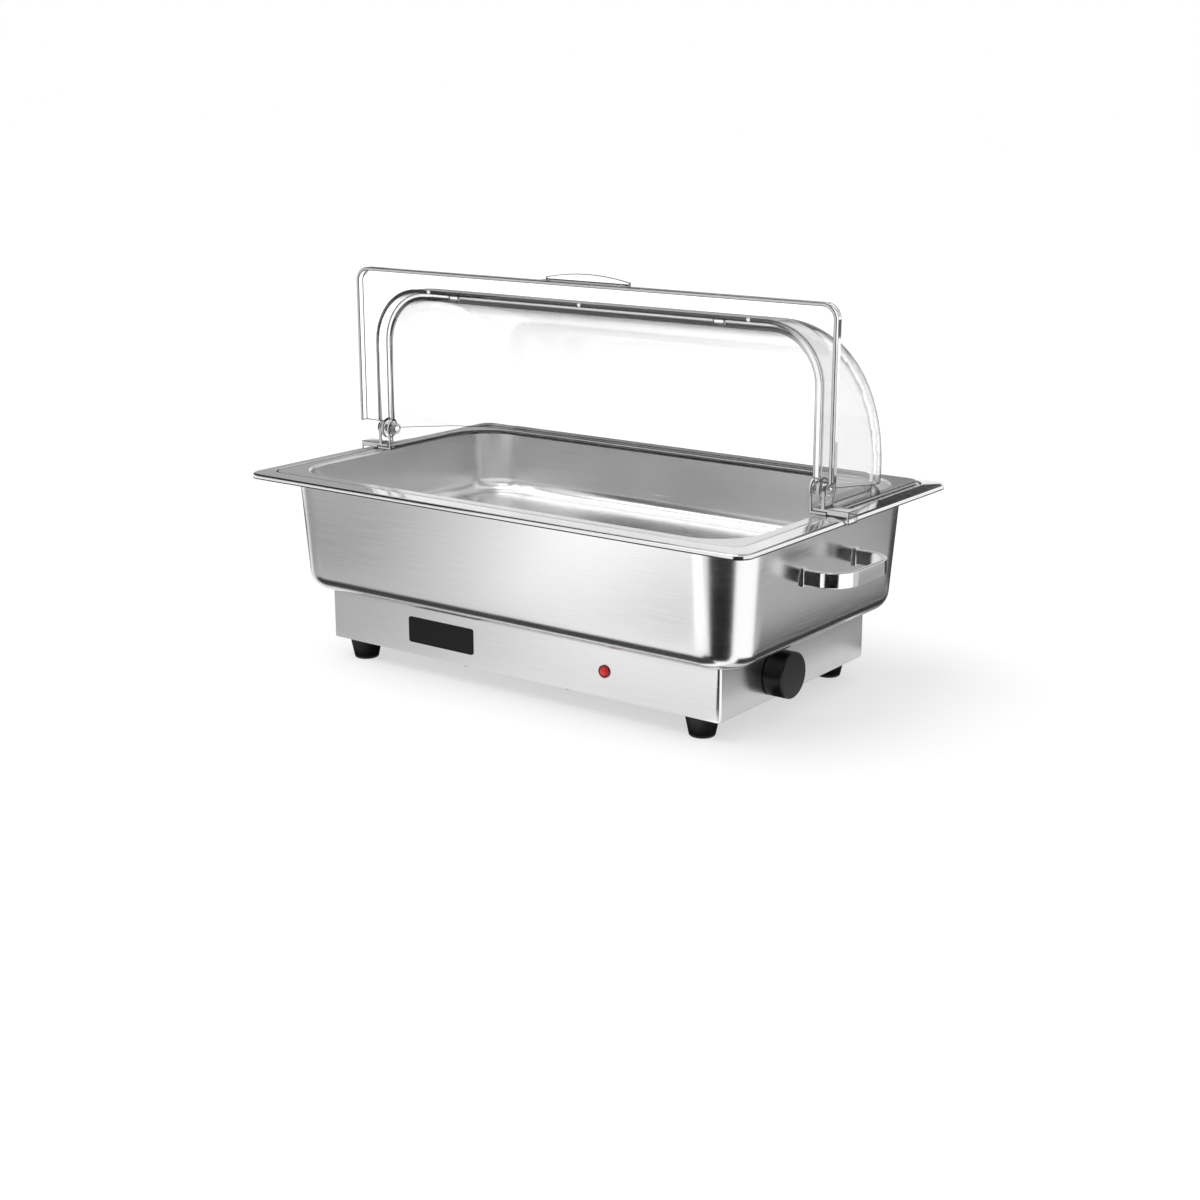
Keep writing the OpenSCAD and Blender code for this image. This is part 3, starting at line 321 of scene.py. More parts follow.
def smooth(piece, angle=35):
    piece.data.shade_smooth()
    piece.data.set_sharp_from_angle(angle=math.radians(angle))
    weigh = piece.modifiers.new("weightedNormals", "WEIGHTED_NORMAL")
    weigh.keep_sharp = True
    weigh.weight = 100  # the largest face at a corner sets its shading


def place(piece, body, slot, *replaced):
    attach(piece, body)
    if replaced:
        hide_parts(*replaced)


def roundedRing(halfX, halfY, r, z, arcSteps=18, support=3):
    # counter-clockwise seen from above, from the middle of the back; support points keep the sides flat
    ring = [Vector((0, halfY, z))]
    for corner, (sx, sy) in enumerate(((-1, 1), (-1, -1), (1, -1), (1, 1))):
        start = math.radians(90 + 90 * corner)
        middle = Vector((sx * (halfX - r), sy * (halfY - r), z))
        bow = []
        for step in range(arcSteps + 1):
            a = start + math.radians(90) * step / arcSteps
            bow.append(middle + Vector((r * math.cos(a), r * math.sin(a), 0)))
        before = Vector((math.sin(start), -math.cos(start), 0)) * support
        after = Vector((math.cos(start + math.pi), math.sin(start + math.pi), 0)) * support
        ring += [bow[0] + before] + bow + [bow[-1] + after]
    return ring


def loft(name, rings, finishes, closed=False, finishOf=None):
    # skins a run of rings; the UV map is in metres, u round the ring and v along the run
    count = len(rings[0])
    points = [p * mm for ring in rings for p in ring]
    across = [[0.0] for ring in rings]
    for ring, run in zip(rings, across):
        for i in range(count):
            run.append(run[-1] + (ring[(i + 1) % count] - ring[i]).length * mm)
    along = [0.0]
    for i in range(len(rings)):
        along.append(along[-1] + (rings[(i + 1) % len(rings)][0] - rings[i][0]).length * mm)
    faces = []
    corners = []
    kinds = []
    for i in range(len(rings) if closed else len(rings) - 1):
        k = (i + 1) % len(rings)
        for j in range(count):
            n = (j + 1) % count
            faces.append((i * count + j, i * count + n, k * count + n, k * count + j))
            corners += [(across[i][j], along[i]), (across[i][j + 1], along[i]),
                        (across[k][j + 1], along[i + 1]), (across[k][j], along[i + 1])]
            kinds.append(finishOf(i) if finishOf else 0)
    if not closed:
        first = list(range(count))[::-1]
        last = [(len(rings) - 1) * count + j for j in range(count)]
        for cap, ring in ((first, 0), (last, len(rings) - 2)):
            faces.append(cap)
            corners += [(points[p].x, points[p].y) for p in cap]
            kinds.append(finishOf(ring) if finishOf else 0)
    mesh = bpy.data.meshes.new(name)
    mesh.from_pydata(points, [], faces)
    layer = mesh.uv_layers.new(name="sheet")
    for loop, uv in zip(layer.data, corners):
        loop.uv = uv
    piece = addObject(name, mesh, finishes)
    for face, kind in zip(mesh.polygons, kinds):
        face.material_index = kind
    return piece


def lathe(name, profile, finishes, steps, closed=False, finishOf=None):
    # turns (radius, height) points about Z; a radius of 0 closes to a pole
    mesh = bpy.data.meshes.new(name)
    work = bmesh.new()
    rows = []
    for radius, height in profile:
        if radius == 0:
            rows.append([work.verts.new((0, 0, height * mm))])
            continue
        turn = [2 * math.pi * i / steps for i in range(steps)]
        rows.append([work.verts.new((radius * math.cos(a) * mm, radius * math.sin(a) * mm, height * mm))
                     for a in turn])
    pairs = list(zip(rows, rows[1:])) + ([(rows[-1], rows[0])] if closed else [])
    for at, (low, high) in enumerate(pairs):
        for i in range(steps):
            k = (i + 1) % steps
            ring = [low[i % len(low)], low[k % len(low)], high[k % len(high)], high[i % len(high)]]
            face = work.faces.new(dict.fromkeys(ring))
            face.material_index = finishOf(at) if finishOf else 0
    bmesh.ops.recalc_face_normals(work, faces=work.faces)
    work.to_mesh(mesh)
    work.free()
    return addObject(name, mesh, finishes)


def turned(piece, axis, at):
    # lays a piece made along Z along another axis and moves it to its place
    turn = Vector((0, 0, 1)).rotation_difference(Vector(axis)).to_matrix().to_4x4()
    piece.data.transform(Matrix.Translation(Vector(at) * mm) @ turn)


def arc(middle, r, start, end, steps):
    # points round a middle, angles in degrees
    angles = [math.radians(start + (end - start) * i / steps) for i in range(steps + 1)]
    return [(middle[0] + r * math.cos(a), middle[1] + r * math.sin(a)) for a in angles]


def cut(piece, cutter, crossing=False):
    carve = piece.modifiers.new("cut", "BOOLEAN")
    carve.object = cutter
    carve.solver = "EXACT"
    carve.use_self = crossing  # where parts of the cutter cross each other
    bake(piece)
    bpy.data.objects.remove(cutter)


# node trees

def newTree(name, inputs):
    # a node group with a shape in, a shape out and named inputs for its sizes
    tree = bpy.data.node_groups.new(name, "GeometryNodeTree")
    for label, kind in {"Geometry": "Geometry", **inputs}.items():
        tree.interface.new_socket(label, in_out="INPUT", socket_type="NodeSocket" + kind)
    tree.interface.new_socket("Geometry", in_out="OUTPUT", socket_type="NodeSocketGeometry")
    return tree, addNode(tree, "NodeGroupInput")


def endTree(tree, shape, finish):
    # plain meshes with their finish, because the export drops instances
    real = addNode(tree, "GeometryNodeRealizeInstances", {"Geometry": shape})
    dressed = addNode(tree, "GeometryNodeSetMaterial", {"Geometry": real.outputs[0], "Material": finish})
    addNode(tree, "NodeGroupOutput", {"Geometry": dressed.outputs[0]})


# in degrees: shading breaks above sharpAngle, faces join below flatAngle, edges are bevelled above bevelAngle
softEdges = {"sharpAngle": 30, "flatAngle": 0.5, "bevelAngle": 40, "bevelSteps": 2}


def softenTree(size):
    # merges a frame node's loose triangles and shades them smooth up to an angle
    tree, given = newTree("softenFrameNode", {"Sharp angle": "Float"})
    tree.interface.items_tree["Sharp angle"].default_value = math.radians(size["sharpAngle"])
    bare = addNode(tree, "GeometryNodeRemoveAttribute", {
        "Geometry": given.outputs["Geometry"], "Name": "custom_normal"})
    merged = addNode(tree, "GeometryNodeMergeByDistance", {
        "Geometry": bare.outputs[0], "Distance": weld * mm})
    faces = addNode(tree, "GeometryNodeSetShadeSmooth", {
        "Geometry": merged.outputs[0], "Shade Smooth": True}, domain="FACE")
    angle = addNode(tree, "GeometryNodeInputMeshEdgeAngle")
    flat = addNode(tree, "FunctionNodeCompare", {
        0: angle.outputs["Unsigned Angle"], 1: given.outputs["Sharp angle"]},
        data_type="FLOAT", operation="LESS_THAN")
    edges = addNode(tree, "GeometryNodeSetShadeSmooth", {
        "Geometry": faces.outputs[0], "Shade Smooth": flat.outputs[0]}, domain="EDGE")
    addNode(tree, "NodeGroupOutput", {"Geometry": edges.outputs[0]})
    return tree


def repeatTree():
    # stands one shape on every point, turned to an axis and spun by a seeded angle
    tree, given = newTree("repeatOnPoints", {
        "Shape": "Object", "Axis": "Vector", "Spin": "Float", "Seed": "Int", "Finish": "Material"})
    info = addNode(tree, "GeometryNodeObjectInfo", {"Object": given.outputs["Shape"]})
    lay = addNode(tree, "FunctionNodeAlignRotationToVector", {"Vector": given.outputs["Axis"]}, axis="Z")
    spin = addNode(tree, "FunctionNodeRandomValue", {
        2: 0.0, 3: given.outputs["Spin"], "Seed": given.outputs["Seed"]}, data_type="FLOAT")
    about = addNode(tree, "FunctionNodeAxisAngleToRotation", {"Axis": (0, 0, 1), "Angle": spin.outputs[1]})
    turn = addNode(tree, "FunctionNodeRotateRotation", {
        0: lay.outputs[0], 1: about.outputs[0]}, rotation_space="LOCAL")
    copies = addNode(tree, "GeometryNodeInstanceOnPoints", {
        "Points": given.outputs["Geometry"], "Instance": info.outputs["Geometry"],
        "Rotation": turn.outputs[0]})
    endTree(tree, copies.outputs[0], given.outputs["Finish"])
    return tree


def strapTree():
    # sweeps a strap with rounded edges along a flat path
    tree, given = newTree("strapOnPath", {
        "Thickness": "Float", "Height": "Float", "Edge radius": "Float", "Edge steps": "Int",
        "Finish": "Material"})
    path = addNode(tree, "GeometryNodeMeshToCurve", {"Mesh": given.outputs["Geometry"]})
    upright = addNode(tree, "GeometryNodeSetCurveNormal", {"Curve": path.outputs[0]}, mode="Z_UP")
    outline = addNode(tree, "GeometryNodeCurvePrimitiveQuadrilateral", {
        "Width": given.outputs["Thickness"], "Height": given.outputs["Height"]})
    rounded = addNode(tree, "GeometryNodeFilletCurve", {
        "Curve": outline.outputs[0], "Radius": given.outputs["Edge radius"],
        "Count": given.outputs["Edge steps"]}, mode="POLY")
    swept = addNode(tree, "GeometryNodeCurveToMesh", {
        "Curve": upright.outputs[0], "Profile Curve": rounded.outputs[0], "Fill Caps": True})
    endTree(tree, swept.outputs[0], given.outputs["Finish"])
    return tree


def runTree(piece, tree, values):
    # sets the tree's inputs by identifier, then turns the result into a plain mesh
    modifier = piece.modifiers.new(tree.name, "NODES")
    modifier.node_group = tree
    names = {item.name: item.identifier for item in tree.interface.items_tree if item.in_out == "INPUT"}
    for name, value in values.items():
        modifier[names[name]] = value
    bake(piece)


softenGroup = softenTree(softEdges)
repeatGroup = repeatTree()
strapGroup = strapTree()


def markEdges(mesh, size):
    # faces with a long way of plastic behind them, such as a sheet's edge, take the second finish, the
    # painted light grey of the edges
    points = [v.co for v in mesh.vertices]
    solid = BVHTree.FromPolygons(points, [tuple(face.vertices) for face in mesh.polygons])
    for face in mesh.polygons:
        spots = [face.center] + [points[i].lerp(face.center, size["inward"]) for i in face.vertices]
        hits = [solid.ray_cast(spot - face.normal * size["skin"] * mm, -face.normal)[3] for spot in spots]
        face.material_index = int(all(way is None or way > size["deep"] * mm for way in hits))


def dressNode(node, finish, bevel=0.0, edges=None):
    # keeps a frame node's shape and gives it a finish, soft edges and clean shading
    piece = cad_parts[node]
    piece.data.materials.clear()
    piece.data.materials.append(finish)
    if edges:
        piece.data.materials.append(edges["face"])
        piece.data.materials.append(edges["line"])
        markEdges(piece.data, edges)
    soften = piece.modifiers.new("soften", "NODES")
    soften.node_group = softenGroup
    if bevel:
        flatten = piece.modifiers.new("joinFlats", "DECIMATE")
        flatten.decimate_type = "DISSOLVE"
        flatten.angle_limit = math.radians(softEdges["flatAngle"])
        flatten.delimit = {"MATERIAL"}
        edge = piece.modifiers.new("edges", "BEVEL")
        edge.width = bevel * mm
        edge.segments = softEdges["bevelSteps"]
        # on clear sheet the bevels take the third finish, a painted dark line
        edge.material = 2 if edges else -1
        edge.limit_method = "ANGLE"
        edge.angle_limit = math.radians(softEdges["bevelAngle"])
        edge.use_clamp_overlap = False
    weigh = piece.modifiers.new("weightedNormals", "WEIGHTED_NORMAL")
    weigh.keep_sharp = True


def repeatPiece(name, shape, places, finish, axis=(0, 0, 1), spin=0.0, seed=3):
    mesh = bpy.data.meshes.new(name)
    mesh.from_pydata([Vector(p) * mm for p in places], [], [])
    piece = addObject(name, mesh, [])
    runTree(piece, repeatGroup, {
        "Shape": shape, "Axis": axis, "Spin": spin, "Seed": seed, "Finish": finish})
    bpy.data.objects.remove(shape)
    smooth(piece)
    return piece


# pans

def tubFoot(size, height, inset):
    # the rounded foot of a drafted wall: (corner radius, height) from the floor up
    tilt = math.radians(size["draft"])
    r = size["fillet"] - inset
    foot = size["cornerR"] - (height - inset) * math.tan(tilt) - inset / math.cos(tilt)
    middle = foot - r * (1 - math.sin(tilt)) / math.cos(tilt)
    return arc((middle, inset + r), r, -90, -size["draft"], size["filletSteps"])


def wallRadius(size, height, at, inset):
    # corner radius of a drafted wall at a height above its floor
    tilt = math.radians(size["draft"])
    return size["cornerR"] + (at - height) * math.tan(tilt) - inset / math.cos(tilt)


guard = 4  # rings this far from a bend, in millimetres, keep the wall's shading flat
waterPan = {
    "rimR": 15, "rimBand": 15.5, "recessR": 15.5, "recessDeep": 2.7, "seatX": 5.5, "seatY": 9,
    "skirt": 6, "skirtLean": 0.35, "cutEdge": 0.7, "cornerR": 47, "fillet": 18, "filletSteps": 10,
    "draft": 4.3, "sheet": 1, "rimDrop": 0.9, "rimRoundX": 3.6, "rimRoundZ": 1.8, "recessEdge": 0.7,
    "recessFlat": 2, "underBendX": 1.5, "underBendZ": 1, "hemIn": 0.02}


def makeWaterPan(size):
    low, high = boxMm("water_pan")
    sheet = size["sheet"]
    recess = (high.x - size["rimBand"], high.y - size["rimBand"])
    seatZ = high.z - size["recessDeep"]
    height = seatZ - low.z
    run = sheet / math.cos(math.radians(size["draft"]))
    middleX = recess[0] - size["seatX"] + run - size["cornerR"]
    middleY = recess[1] - size["seatY"] + run - size["cornerR"]

    def wall(r, z):
        return roundedRing(middleX + r, middleY + r, r, low.z + z)

    def rim(inward, z):
        return roundedRing(high.x - inward, high.y - inward, size["rimR"] - inward, z)

    def lip(outward, z):
        return roundedRing(recess[0] + outward, recess[1] + outward, size["recessR"] + outward, z)

    outer = tubFoot(size, height, 0)
    inner = tubFoot(size, height, sheet)
    rings = [wall(*p) for p in outer]
    for z in (outer[-1][1] + guard, height - sheet - guard, height - sheet):
        rings.append(wall(wallRadius(size, height, z, 0), z))
    rings += [lip(sheet, seatZ - sheet), lip(sheet, high.z - sheet)]
    wallRings = len(rings)
    hem = sheet / 2
    hemZ = high.z - size["skirt"] + hem
    underZ = high.z - sheet
    rings += [rim(sheet + size["underBendX"], underZ), rim(sheet, underZ - size["underBendZ"])]
    rings += [rim(sheet, hemZ)]
    hemRings = len(rings)
    rings += [rim(d, z) for d, z in arc((hem, hemZ), hem, 0, -180, 6)][1:]
    rings += [rim(size["hemIn"], hemZ + size["cutEdge"])]
    skirtRings = len(rings)
    # the skirt leans in and runs over a flat ellipse into the top, which slopes out a little
    lean, wide, tall = size["skirtLean"], size["rimRoundX"], size["rimRoundZ"]
    outerZ = high.z - size["rimDrop"]
    rings += [rim(lean + wide * (1 + x), outerZ - tall * (1 - z)) for x, z in arc((0, 0), 1, 180, 90, 8)]
    edge = size["recessEdge"]
    rings += [lip(edge + size["recessFlat"], high.z)]
    rings += [lip(d, z) for d, z in arc((edge, high.z - edge), edge, 90, 180, 4)]
    gapRing = len(rings) - 1
    rings += [lip(0, seatZ)]
    rimRings = len(rings)
    for z in (height, height - guard, inner[-1][1] + guard):
        rings.append(wall(wallRadius(size, height, z, sheet), z))
    rings += [wall(*p) for p in reversed(inner)]
    polished = range(wallRings - 1, rimRings)
    # painted shade: the skirt's hem and the wall of the recess take the dark steel
    shadeLineRings = [*range(hemRings - 1, skirtRings - 1), gapRing]
    piece = loft("waterPanSheet", rings, [brushedSteel, polishedSteel, shadeLineSteel],
                 finishOf=lambda i: 2 if i in shadeLineRings else 1 if i in polished else 0)
    smooth(piece)
    place(piece, "base", "brushed_steel", "water_pan")


makeWaterPan(waterPan)

foodPan = {
    "flange": 12, "flangeR": 14, "flangeDeep": 2.3, "cornerR": 47, "fillet": 15, "filletSteps": 10,
    "draft": 4.5, "sheet": 0.8, "edge": 1.1, "wellEdge": 2.4, "edgeFlat": 1.5}


def makeFoodPan(size):
    low, high = boxMm("food_pan")
    sheet = size["sheet"]
    height = high.z - low.z
    hemZ = high.z - size["flangeDeep"]
    middleX = high.x - size["flange"] - size["cornerR"]
    middleY = high.y - size["flange"] - size["cornerR"]

    def wall(r, z):
        return roundedRing(middleX + r, middleY + r, r, low.z + z)

    def flange(inward, z):
        return roundedRing(high.x - inward, high.y - inward, size["flangeR"] - inward, z)

    outer = tubFoot(size, height, 0)
    inner = tubFoot(size, height, sheet)
    rings = [wall(*p) for p in outer]
    for z in (outer[-1][1] + guard, height - sheet - guard, height - sheet):
        rings.append(wall(wallRadius(size, height, z, 0), z))
    hem = sheet / 2
    rings += [flange(sheet, high.z - sheet), flange(sheet, hemZ + hem)]
    hemRings = len(rings)
    rings += [flange(d, z) for d, z in arc((hem, hemZ + hem), hem, 0, -180, 6)][1:]
    edge = size["edge"]
    edgeRings = len(rings)
    rings += [flange(d, z) for d, z in arc((edge, high.z - edge), edge, 180, 90, 6)]
    rings += [flange(edge + size["edgeFlat"], high.z)]
    edge = size["wellEdge"]
    start = wallRadius(size, height, height - edge, sheet) + edge
    rings += [wall(start + size["edgeFlat"], height)]
    rings += [wall(r, z) for r, z in arc((start, height - edge), edge, 90, 180 - size["draft"], 6)]
    for z in (height - edge - guard, inner[-1][1] + guard):
        rings.append(wall(wallRadius(size, height, z, sheet), z))
    rings += [wall(*p) for p in reversed(inner)]
    # painted shade: the flange's hem takes the dark steel
    shadeLineRings = range(hemRings - 1, edgeRings)
    piece = loft("foodPanSheet", rings, [satinSteel, shadeLineSteel],
                 finishOf=lambda i: int(i in shadeLineRings))
    smooth(piece)
    place(piece, "food_pan", "satin_steel", "food_pan")


makeFoodPan(foodPan)
print("pans made")


# base

# holes are diameters; drill is how far a cut reaches to each side of a wall
baseHousing = {
    "cornerR": 4, "cornerSteps": 10, "lip": 14, "sheet": 1, "plate": 1, "topEdge": 1.2, "topFlat": 2,
    "foot": 3, "lampHole": 8.4, "bushHole": 10.4, "glandHole": 16.4, "screwHole": 4.4, "plateHole": 4.4,
    "footNotch": 13, "drill": 5, "drillBelow": 2, "drillAbove": 8, "drillSides": 40}


def rodCutter(rods, sides):
    # one mesh of round bars: (start, end, diameter) each
    work = bmesh.new()
    for start, end, wide in rods:
        start, end = Vector(start) * mm, Vector(end) * mm
        turn = Vector((0, 0, 1)).rotation_difference(end - start).to_matrix().to_4x4()
        bmesh.ops.create_cone(work, cap_ends=True, segments=sides, radius1=wide * mm / 2,
                              radius2=wide * mm / 2, depth=(end - start).length,
                              matrix=Matrix.Translation((start + end) / 2) @ turn)
    mesh = bpy.data.meshes.new("cutter")
    work.to_mesh(mesh)
    work.free()
    return addObject("cutter", mesh, [])


def makeBase(size):
    low, high = boxMm("base_housing")
    sheet = size["sheet"]
    lipTop = low.z + size["plate"] + sheet

    def side(inward, z):
        return roundedRing(high.x - inward, high.y - inward, size["cornerR"] - min(inward, sheet), z,
                           size["cornerSteps"])

    edge = size["topEdge"]
    hem = sheet / 2
    rings = [side(0, low.z + hem), side(0, low.z + size["foot"]), side(0, high.z - guard)]
    rings += [side(d, z) for d, z in arc((edge, high.z - edge), edge, 180, 90, 5)]
    rings += [side(edge + size["topFlat"], high.z)]
    rings += [side(size["lip"], high.z), side(size["lip"], high.z - sheet)]
    rings += [side(sheet, high.z - sheet), side(sheet, lipTop), side(size["lip"], lipTop)]
    rings += [side(size["lip"], lipTop - sheet), side(sheet, lipTop - sheet), side(sheet, low.z + hem)]
    rings += [side(d, z) for d, z in arc((hem, low.z + hem), hem, 0, -180, 4)][1:-1]
    piece = loft("baseSheet", rings, [brushedSteel], closed=True)
    lamp, gland, knob = middleMm("pilot_lamp_body"), middleMm("gland_nut"), middleMm("control_knob")
    reach, below, above = size["drill"], low.z - size["drillBelow"], low.z + size["drillAbove"]
    rods = [((lamp.x, low.y - reach, lamp.z), (lamp.x, low.y + reach, lamp.z), size["lampHole"]),
            ((gland.x, high.y - reach, gland.z), (gland.x, high.y + reach, gland.z), size["glandHole"]),
            ((high.x - reach, knob.y, knob.z), (high.x + reach, knob.y, knob.z), size["bushHole"])]
    for at in solidMiddles("thermostat_screws"):
        rods.append(((high.x - reach, at.y, at.z), (high.x + reach, at.y, at.z), size["screwHole"]))
    for node, wide in (("bottom_screws", size["plateHole"]), ("foot_nuts", size["footNotch"])):
        rods += [((at.x, at.y, below), (at.x, at.y, above), wide) for at in solidMiddles(node)]
    cut(piece, rodCutter(rods, size["drillSides"]))
    smooth(piece)
    place(piece, "base", "brushed_steel", "base_housing")


makeBase(baseHousing)

rubberFoot = {
    "topR": 15.5, "bottomR": 11.75, "boreR": 5.5, "boreDeep": 8, "boreEdge": 0.4, "holeR": 2.7, "edge": 1.8,
    "swell": 0.2, "topEdge": 0.8, "topLean": 10, "sides": 48}


def makeFeet(size):
    tall = boxMm("rubber_feet")[1].z
    edge, topEdge, boreEdge = size["edge"], size["topEdge"], size["boreEdge"]
    profile = [(size["boreR"], boreEdge), (size["boreR"] + boreEdge, 0)]
    profile += arc((size["bottomR"] + size["swell"] - edge, edge), edge, -90, 0, 5)
    profile += arc((size["topR"] - topEdge, tall - topEdge), topEdge, -size["topLean"], 90, 4)
    profile += [(size["holeR"], tall), (size["holeR"], size["boreDeep"]), (size["boreR"], size["boreDeep"])]
    shape = lathe("footShape", profile, [blackRubber], size["sides"], closed=True)
    places = [(at.x, at.y, 0) for at in solidMiddles("rubber_feet")]
    piece = repeatPiece("rubberFeet", shape, places, blackRubber)
    place(piece, "base", "black_rubber", "rubber_feet")


makeFeet(rubberFoot)

frontPlate = {
    "cornerR": 2.5, "cornerSteps": 8, "support": 0.5, "border": 1.1, "borderSlope": 0.25, "edge": 0.25,
    "sunk": 0.18}


def makeFrontPlate(size):
    low, high = boxMm("front_plate")
    halfX, halfZ, thick = (high.x - low.x) / 2, (high.z - low.z) / 2, high.y - low.y

    def outline(inward, z):
        return roundedRing(halfX - inward, halfZ - inward, size["cornerR"] - inward, z,
                           size["cornerSteps"], size["support"])

    edge = size["edge"]
    rings = [outline(0, 0), outline(0, thick - edge)]
    rings += [outline(d, z) for d, z in arc((edge, thick - edge), edge, 180, 90, 3)][1:]
    border = size["border"]
    rings += [outline(border, thick), outline(border + size["borderSlope"], thick - size["sunk"])]
    piece = loft("frontPlate", rings, [blackPlate])
    middle = Vector(((low.x + high.x) / 2, high.y, (low.z + high.z) / 2))
    piece.data.transform(Matrix.Translation(middle * mm) @ Matrix.Rotation(math.radians(90), 4, "X"))
    smooth(piece)
    place(piece, "base", "black_plastic", "front_plate")


makeFrontPlate(frontPlate)

lampLens = {
    "flangeT": 1.5, "stemR": 4, "stemL": 8, "domeR": 4.1, "edge": 0.5, "groove": 0.35, "grooveDeep": 0.3,
    "sides": 40}


def makeLens(size):
    low, high = boxMm("pilot_lamp_lens")
    rimR = (high.x - low.x) / 2
    tall = high.y - low.y - size["stemL"]
    edge = size["edge"]
    profile = [(0, -size["stemL"]), (size["stemR"], -size["stemL"]), (size["stemR"], 0), (rimR, 0)]
    profile += arc((rimR - edge, size["flangeT"] - edge), edge, 0, 90, 4)
    domeZ = size["flangeT"] - size["grooveDeep"]
    profile += [(size["domeR"] + size["groove"], size["flangeT"]), (size["domeR"], domeZ)]
    rimFaces = len(profile) - 1
    rise = tall - domeZ
    ballR = (size["domeR"] ** 2 + rise ** 2) / (2 * rise)
    reach = math.degrees(math.acos(size["domeR"] / ballR))
    dome = arc((0, tall - ballR), ballR, reach, 90, 8)
    profile += dome[1:-1] + [(0, tall)]
    piece = lathe("pilotLampLens", profile, [redRim, redDome], size["sides"],
                  finishOf=lambda i: 0 if i < rimFaces else 1)
    turned(piece, (0, -1, 0), ((low.x + high.x) / 2, high.y - size["stemL"], (low.z + high.z) / 2))
    smooth(piece)
    place(piece, "base", "red_lens", "pilot_lamp_lens")


makeLens(lampLens)

controlKnob = {
    "bevel": 1.2, "bevelDrop": 0.1, "edge": 0.35, "edgeIn": 0.4, "backEdge": 0.6, "boreR": 3.05, "boreL": 14,
    "hollowR": 18.5, "hollowDeep": 2.2, "sideFlat": 2, "faceFlat": 3, "sides": 96, "sharpAngle": 30}


def makeKnob(size):
    low, high = boxMm("control_knob")
    r, long = (high.z - low.z) / 2, high.x - low.x
    bevel, edge, back = size["bevel"], size["edge"], size["backEdge"]
    hollow, deep = size["hollowR"], size["hollowDeep"]
    profile = [(0, size["boreL"]), (size["boreR"], size["boreL"]), (size["boreR"], deep)]
    profile += [(hollow, deep), (hollow, 0), (r - back, 0)]
    profile += arc((r - back, back), back, -60, 0, 3)
    profile += [(r, long - bevel - size["sideFlat"])]
    profile += arc((r - edge, long - bevel - size["bevelDrop"]), edge, 0, 45, 3)
    profile += arc((r - bevel - edge * size["edgeIn"], long - edge), edge, 45, 90, 3)
    profile += [(r - bevel - size["faceFlat"], long), (0, long)]
    piece = lathe("controlKnob", profile, [blackAbs], size["sides"])
    turned(piece, (1, 0, 0), (low.x, (low.y + high.y) / 2, (low.z + high.z) / 2))
    smooth(piece, size["sharpAngle"])
    place(piece, "knob", "black_plastic", "control_knob")


makeKnob(controlKnob)
print("base fittings made")


# handles

sideHandle = {
    "thick": 4, "bend": 26, "bendSteps": 16, "edge": 0.9, "edgeSteps": 5, "collarX": 3, "collarWall": 1.6,
    "collarEdge": 0.7, "collarSteps": 3, "sink": 0.6}


def roundedBox(work, low, high, r, steps):
    made = bmesh.ops.create_cube(work, size=1)["verts"]
    for vert in made:
        vert.co = Vector([low[i] if vert.co[i] < 0 else high[i] for i in range(3)]) * mm
    edges = list({edge for vert in made for edge in vert.link_edges})
    bmesh.ops.bevel(work, geom=edges, offset=r * mm, segments=steps, profile=0.5, affect="EDGES")


def makeHandle(name, node, size, side):
    low, high = boxMm(node)
    thick, bend = size["thick"], size["bend"] - size["thick"] / 2
    outX = max(abs(low.x), abs(high.x)) - thick / 2
    inX = min(abs(low.x), abs(high.x))
    halfY, midZ = high.y - thick / 2, (low.z + high.z) / 2
    steps = size["bendSteps"]
    path = [(inX, -halfY)] + arc((outX - bend, -halfY + bend), bend, -90, 0, steps)
    path += arc((outX - bend, halfY - bend), bend, 0, 90, steps) + [(inX, halfY)]
    mesh = bpy.data.meshes.new(name)
    points = [Vector((side * x, y, midZ)) * mm for x, y in path]
    mesh.from_pydata(points, [(i, i + 1) for i in range(len(points) - 1)], [])
    piece = addObject(name, mesh, [])
    runTree(piece, strapGroup, {
        "Thickness": thick * mm, "Height": (high.z - low.z) * mm, "Edge radius": size["edge"] * mm,
        "Edge steps": size["edgeSteps"], "Finish": polishedSteel})
    # square collars where the strap is welded to the wall
    work = bmesh.new()
    work.from_mesh(piece.data)
    bmesh.ops.recalc_face_normals(work, faces=work.faces)
    rim = size["collarWall"]
    for y in (-halfY, halfY):
        xs = sorted((side * (inX - size["sink"]), side * (inX + size["collarX"])))
        roundedBox(work, (xs[0], y - thick / 2 - rim, low.z - rim),
                   (xs[1], y + thick / 2 + rim, high.z + rim), size["collarEdge"], size["collarSteps"])
    work.to_mesh(piece.data)
    work.free()
    smooth(piece)
    place(piece, "base", "polished_steel", node)


makeHandle("handleRight", "handle_right", sideHandle, 1)
makeHandle("handleLeft", "handle_left", sideHandle, -1)
print("handles made")


# fasteners

# shares of the head's radius and height, and of the shank's radius at its point
# each screw is turned by a random part of spin, in degrees
screwForm = {
    "dome": 0.35, "shoulder": (0.93, 0.45), "crown": (0.7, 0.12), "pointR": 0.8, "pointL": 0.3,
    "slotL": 1.25, "slotW": 0.26, "slotDeep": 0.55, "sides": 28, "spin": 90}


